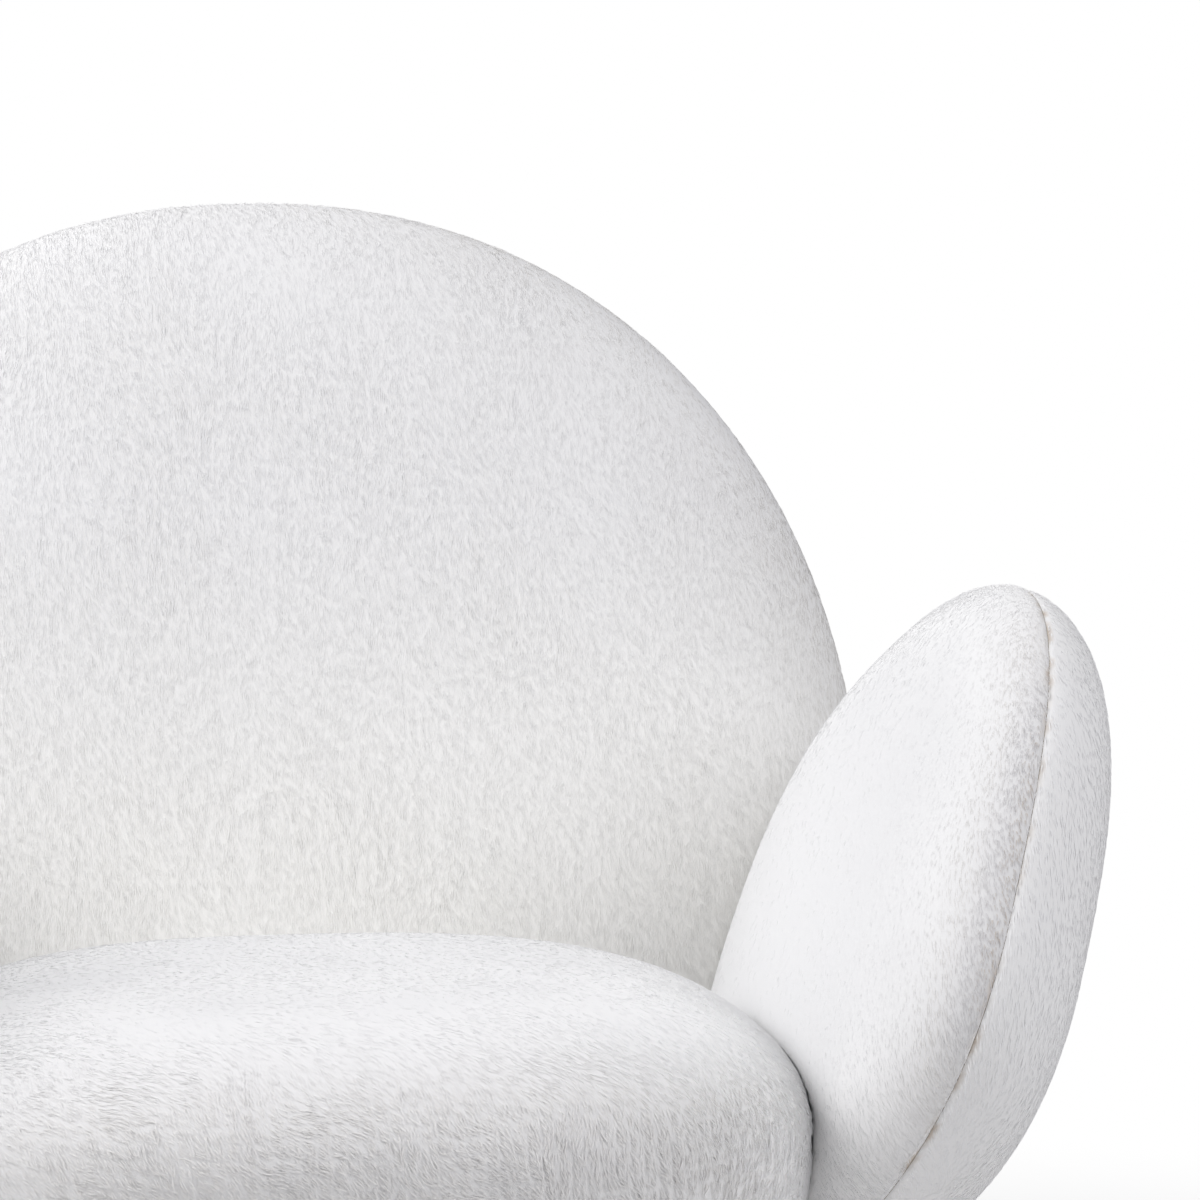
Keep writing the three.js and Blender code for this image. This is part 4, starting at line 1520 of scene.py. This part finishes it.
@dataclass(frozen=True)
class Arm:
    """One arm: an inner and an outer pad with a board between them, leaning out, its front raised."""

    side: Side
    front: float = 0.2419
    rear: float = 0.2315
    up: float = 0.2235
    down: float = 0.1316
    inner_dome: float = 0.054
    outer_dome: float = 0.0685
    power: float = 2.5
    dome_power: float = 4.1
    lean: float = 18.5
    roll: float = 25.5
    beside_seat: float = 0.2754
    behind_middle: float = 0.053
    above_seat: float = 0.0247
    board_inset: float = 0.0257
    board: float = 0.0153

    def lens(self, seat: Seat) -> Lens:
        """Places the arm beside the seat's middle.

        Args:
            seat: The seat.

        Returns:
            The whole arm before it is dented.
        """
        sr, cr = axes(self.roll)
        sl, cl = axes(self.lean)
        oval = Oval(self.rear, self.front, self.up, self.down, self.power)
        centre = seat.middle + (self.beside_seat, self.behind_middle, self.above_seat)
        stand = Stand(centre, (sr * sl, -cr, sr * cl), (cr * sl, sr, cr * cl), (-cl, 0, sl))
        inner, outer = (Dome(rise, self.dome_power) for rise in (self.inner_dome, self.outer_dome))
        return Lens(oval, inner, outer, stand.on(self.side))

    def build(self, seat: Seat, back: Lens, finishes: Finishes) -> None:
        """Makes the arm's two pads.

        Args:
            seat: The seat, which presses into the inner pad.
            back: The back, which presses into both pads.
            finishes: The chair's finishes.
        """
        lens = self.lens(seat)
        stem = f"arm_{self.side.word}"
        presses = (Press(seat.lens, -np.array(lens.stand.normal)), Press(back, (0, -1, 0)))
        inner_nap = Nap(
            comb=(0.0, -0.45, -1.0), length=0.005, breadth=0.0003, stand=0.001, tuft=0.45, coarse=0.4,
            # Painted shade on the arm's front rim.
            calm=lens.stand.normal, calming=0.98, dusk=0.6, dusk_way=(0, -0.93, 0.37),
        )
        inner = Cushion(
            f"{stem}_inner_cushion", f"{stem}_inner_pad", lens, inner_nap, 41, presses, side=self.side,
        )
        inner.half(Half.UPPER, finishes, self.board_inset, self.board, BOARD_ROOM,
                   [Box.window(f"{stem}_block")])
        outer_nap = Nap(comb=(0.0, -0.3, -1.0), per_area=160_000, breadth=0.0005, coarse=0.28)
        outer = Cushion(
            f"{stem}_outer_cushion", f"{stem}_outer_pad", lens, outer_nap, 51, presses, side=self.side,
        )
        outer.half(Half.LOWER, finishes)


# Frame and legs


def dress(material: Material, *nodes: str) -> None:
    """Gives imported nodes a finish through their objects' material slots.

    Args:
        material: The finish.
        *nodes: The nodes' names.
    """
    for node in nodes:
        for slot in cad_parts[node].material_slots:
            slot.link = "OBJECT"
            slot.material = material
    log.info("%s dresses %d nodes", material.name, len(nodes))


@dataclass(frozen=True)
class Frame:
    """The wooden seat frame, its suspension, the boards and blocks, and what fastens them."""

    springs: int = 4

    def dress(self, finishes: Finishes) -> None:
        """Gives every carried-over node its finish.

        Args:
            finishes: The chair's finishes.
        """
        corners = [f"{end}_{side.word}" for end in ("front", "rear") for side in Side]
        arms = [f"arm_{side.word}" for side in Side]
        backs = [f"back_{side.word}" for side in Side]
        rails = [f"seat_{way}_rail" for way in ("left", "right", "front", "rear")]
        dress(
            finishes.frame_wood, "seat_ring", "back_board", *rails, *[f"{c}_corner_block" for c in corners],
            *[f"{each}_block" for each in arms + backs], *[f"{each}_board" for each in arms],
        )
        dress(finishes.spring_steel, *[f"spring_{n}" for n in range(1, self.springs + 1)])
        fasteners = [f"{each}_{kind}_{n}" for each in arms for kind in ("bolt", "insert") for n in (1, 2)]
        fasteners += [f"{each}_{kind}" for each in backs for kind in ("bolt", "insert")]
        fasteners += [f"{corner}_{kind}" for corner in corners for kind in ("plate", "hanger_bolt")]
        dress(finishes.steel, "front_clip_bar", "rear_clip_bar", *fasteners)
        dress(finishes.felt, "spring_felt")
        dress(finishes.dust_cover, "dust_cover")


@dataclass(frozen=True)
class Leg:
    """One turned leg and its glide. The leg's axis runs from its plate's middle to its glide's."""

    end: str
    side: Side
    top_radius: float = 0.022
    foot_radius: float = 0.0125
    shoulder: float = 0.005
    glide_radius: float = 0.011
    glide_edge: float = 0.0015
    steps: int = 96
    shoulder_rings: int = 8
    side_rings: int = 40
    edge_rings: int = 7

    @property
    def name(self) -> str:
        """The leg's name as its nodes write it."""
        return f"{self.end}_{self.side.word}"

    def turned(self, name: str, profile: Array, low: Array, high: Array) -> Thing:
        """A body turned from a profile and sheared so that its ends lie level.

        Args:
            name: The piece's name.
            profile: Rows of radius and height share, from the top's middle to the foot's.
            low: The middle of the foot.
            high: The middle of the top.

        Returns:
            The piece.
        """
        radius, share = profile[:, :1, None], profile[:, 1:, None]
        return skin(name, radius * circle(self.steps) + low + share * (high - low))

    def build(self, finishes: Finishes) -> None:
        """Makes the leg and its glide.

        The leg's radius swells as foot + (top - foot) sin(90 deg * share of the height), and a
        quarter of an ellipse eases its shoulder.

        Args:
            finishes: The chair's finishes.
        """
        node = Box.of(f"{self.name}_leg")
        plate = Box.of(f"{self.name}_plate")
        glide = Box.of(f"{self.name}_glide")
        top, foot = (plate.low + plate.high) / 2, (glide.low + glide.high) / 2
        top[2], foot[2] = node.high[2], node.low[2]
        height = top[2] - foot[2]
        ease = np.linspace(pi / 2, 0, self.shoulder_rings)
        shoulder = np.stack([
            self.top_radius - self.shoulder / 2 * (1 - np.cos(ease)),
            1 - self.shoulder / height * (1 - np.sin(ease)),
        ], 1)
        share = np.linspace(1, 0, self.side_rings)[1:]
        swell = self.foot_radius + (self.top_radius - self.foot_radius) * np.sin(share * pi / 2)
        side = np.stack([swell, share * (1 - self.shoulder / height)], 1)
        profile = np.concatenate([[(0, 1)], shoulder, side, [(0, 0)]])
        leg = self.turned(f"{self.name}_turned_leg", profile, foot, top)
        self.keep(leg, "leg", finishes.leg_wood)
        low, high = foot.copy(), foot.copy()
        low[2], high[2] = glide.low[2], glide.high[2]
        round_edge = np.linspace(0, pi / 2, self.edge_rings)
        edge = np.stack([
            self.glide_radius - self.glide_edge * (1 - np.cos(round_edge)),
            self.glide_edge * (1 - np.sin(round_edge)) / (high[2] - low[2]),
        ], 1)
        profile = np.concatenate([[(0, 1)], [(self.glide_radius, 1)], edge, [(0, 0)]])
        pad = self.turned(f"{self.name}_foot_glide", profile, low, high)
        self.keep(pad, "glide", finishes.glide)

    def keep(self, piece: Thing, node: str, material: Material) -> None:
        """Dresses a turned piece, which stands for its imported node."""
        piece.data.materials.append(material)
        join(piece, f"{self.name}_{node}")


# Studio


@dataclass(frozen=True)
class Lamp:
    """A round soft lamp: its name, place, power in watts, colour and width."""

    name: str
    place: tuple[float, float, float]
    power: float
    color: Color
    size: float = 2.2
    target: tuple[float, float, float] = (0, 0, 0.5)


@dataclass(frozen=True)
class Studio:
    """A white studio: a floor that fades out, soft light mostly from the left, and the camera.

    Attributes:
        azimuth: The camera's place round the chair, in degrees from straight in front.
        elevation: The camera's height in degrees above the point that it looks at.
        distance: From that point to the camera.
        aim: That point, from the seat's middle in X and Y, and from the floor.
        focal: The lens's focal length in millimetres.
        sensor: The sensor's width in millimetres.
        ambient: The strength of the light from all around.
        ambient_color: Its colour.
        lamps: The lamps.
        floor_color: The floor's paint.
        floor_radius: How far the floor reaches.
        floor_steps: Points round its edge.
        floor_fade: Where it starts to fade and where it has faded out, as shares of its radius.
        floor_drop: How far it lies under the glides.
    """

    azimuth: float = -8.0
    elevation: float = 7.0
    distance: float = 3.3
    aim: tuple[float, float, float] = (0.138, 0.023, 0.603)
    focal: float = 201.0
    sensor: float = 36.0
    ambient: float = 0.345
    ambient_color: Color = (0.966, 0.966, 1.0)
    lamps: Sequence[Lamp] = (
        Lamp("key", (-2.2, -0.9, 2.6), 47.2, (0.995, 0.992, 1.0)),
        Lamp("side", (-2.6, 0.6, 2.0), 24.9, (0.995, 0.992, 1.0)),
        Lamp("fill", (1.8, -1.6, 2.2), 28.9, (0.98, 0.977, 1.0)),
    )
    floor_color: Color = (0.93, 0.93, 0.93)
    floor_radius: float = 1.7
    floor_steps: int = 128
    floor_fade: tuple[float, float] = (0.4, 0.97)
    floor_drop: float = 0.0002

    def world(self) -> None:
        """Lights the chair evenly, and shows white to the camera and in reflections."""
        made = bpy.data.worlds.new("studio")
        bpy.context.scene.world = made
        sheet = Sheet(made)
        path = sheet.add("ShaderNodeLightPath", {}, {})
        seen = Wire(sheet, path.outputs["Is Camera Ray"])
        for ray in ("Is Glossy Ray", "Is Transmission Ray"):
            seen = seen.math("MAXIMUM", seen, path.outputs[ray])
        soft = sheet.add("ShaderNodeBackground", {}, {
            "Color": (*self.ambient_color, 1), "Strength": self.ambient,
        })
        white = sheet.add("ShaderNodeBackground", {}, {"Color": (1, 1, 1, 1), "Strength": 1.0})
        mixed = sheet.add("ShaderNodeMixShader", {}, {0: seen, 1: soft.outputs[0], 2: white.outputs[0]})
        sheet.add("ShaderNodeOutputWorld", {}, {"Surface": mixed.outputs[0]})

    def floor(self) -> None:
        """A round floor that keeps the chair's shadow and fades into the white around it."""
        steps = self.floor_steps
        start, end = self.floor_fade
        edge = self.floor_radius * circle(steps)
        near = 1 + np.arange(steps)
        after = np.roll(near, -1)
        made = new_object(
            "studio_floor", np.concatenate([0 * edge[:1], start * edge, edge]) - (0, 0, self.floor_drop),
            np.stack([0 * near, near, after], -1),
            np.stack([near, near + steps, after + steps, after], -1),
        )
        sheet = blank("floor_paint")
        reach = sheet.wire("ShaderNodeVectorMath", {"operation": "LENGTH"}, {0: sheet.place()}, "Value")
        fade = reach.spread(start * self.floor_radius, end * self.floor_radius)
        paint = sheet.add("ShaderNodeBsdfDiffuse", {}, {"Color": (*self.floor_color, 1)})
        clear = sheet.add("ShaderNodeBsdfTransparent", {}, {})
        mixed = sheet.add("ShaderNodeMixShader", {}, {0: fade, 1: paint.outputs[0], 2: clear.outputs[0]})
        sheet.add("ShaderNodeOutputMaterial", {}, {"Surface": mixed.outputs[0]})
        made.data.materials.append(sheet.owner)

    def light(self, lamp: Lamp) -> None:
        """Hangs a lamp.

        Args:
            lamp: The lamp.
        """
        data = bpy.data.lights.new(lamp.name, "AREA")
        data.shape, data.size, data.energy, data.color = "DISK", lamp.size, lamp.power, lamp.color
        made = bpy.data.objects.new(lamp.name, data)
        bpy.context.scene.collection.objects.link(made)
        self.aim_at(made, np.array(lamp.place), np.array(lamp.target))

    def camera(self, middle: Array) -> None:
        """The photograph's view: a long lens a little to the chair's right and above.

        Args:
            middle: The middle of the seat.
        """
        data = bpy.data.cameras.new("camera")
        data.lens, data.sensor_width = self.focal, self.sensor
        made = bpy.data.objects.new("camera", data)
        bpy.context.scene.collection.objects.link(made)
        aim = middle * (1, 1, 0) + self.aim
        a, e = radians(self.azimuth), radians(self.elevation)
        self.aim_at(made, aim + self.distance * np.array((sin(a) * cos(e), -cos(a) * cos(e), sin(e))), aim)
        bpy.context.scene.camera = made

    @staticmethod
    def aim_at(thing: Thing, place: Array, target: Array) -> None:
        """Puts a lamp or camera at a place, looking at a target."""
        thing.location = place
        thing.rotation_euler = Vector(target - place).to_track_quat("-Z", "Y").to_euler()

    def build(self, middle: Array) -> None:
        """Sets up the whole studio.

        Args:
            middle: The middle of the seat.
        """
        bpy.context.scene.view_settings.view_transform = "Standard"
        self.world()
        self.floor()
        for lamp in self.lamps:
            self.light(lamp)
        self.camera(middle)


def main() -> None:
    """Builds the chair's sub-assemblies in order."""
    logging.basicConfig(level=logging.INFO, format="%(name)s: %(message)s")
    finishes = Finishes()
    seat, back = Seat(), Back()
    arms = [Arm(side) for side in Side]
    arm_lenses = [arm.lens(seat) for arm in arms]
    Studio().build(seat.middle)
    seat.build(back.lens(seat), arm_lenses, finishes)
    back.build(seat, arm_lenses, finishes)
    for arm in arms:
        arm.build(seat, back.lens(seat), finishes)
    Frame().dress(finishes)
    for end in ("front", "rear"):
        for side in Side:
            Leg(end, side).build(finishes)


if __name__ == "__main__":
    main()
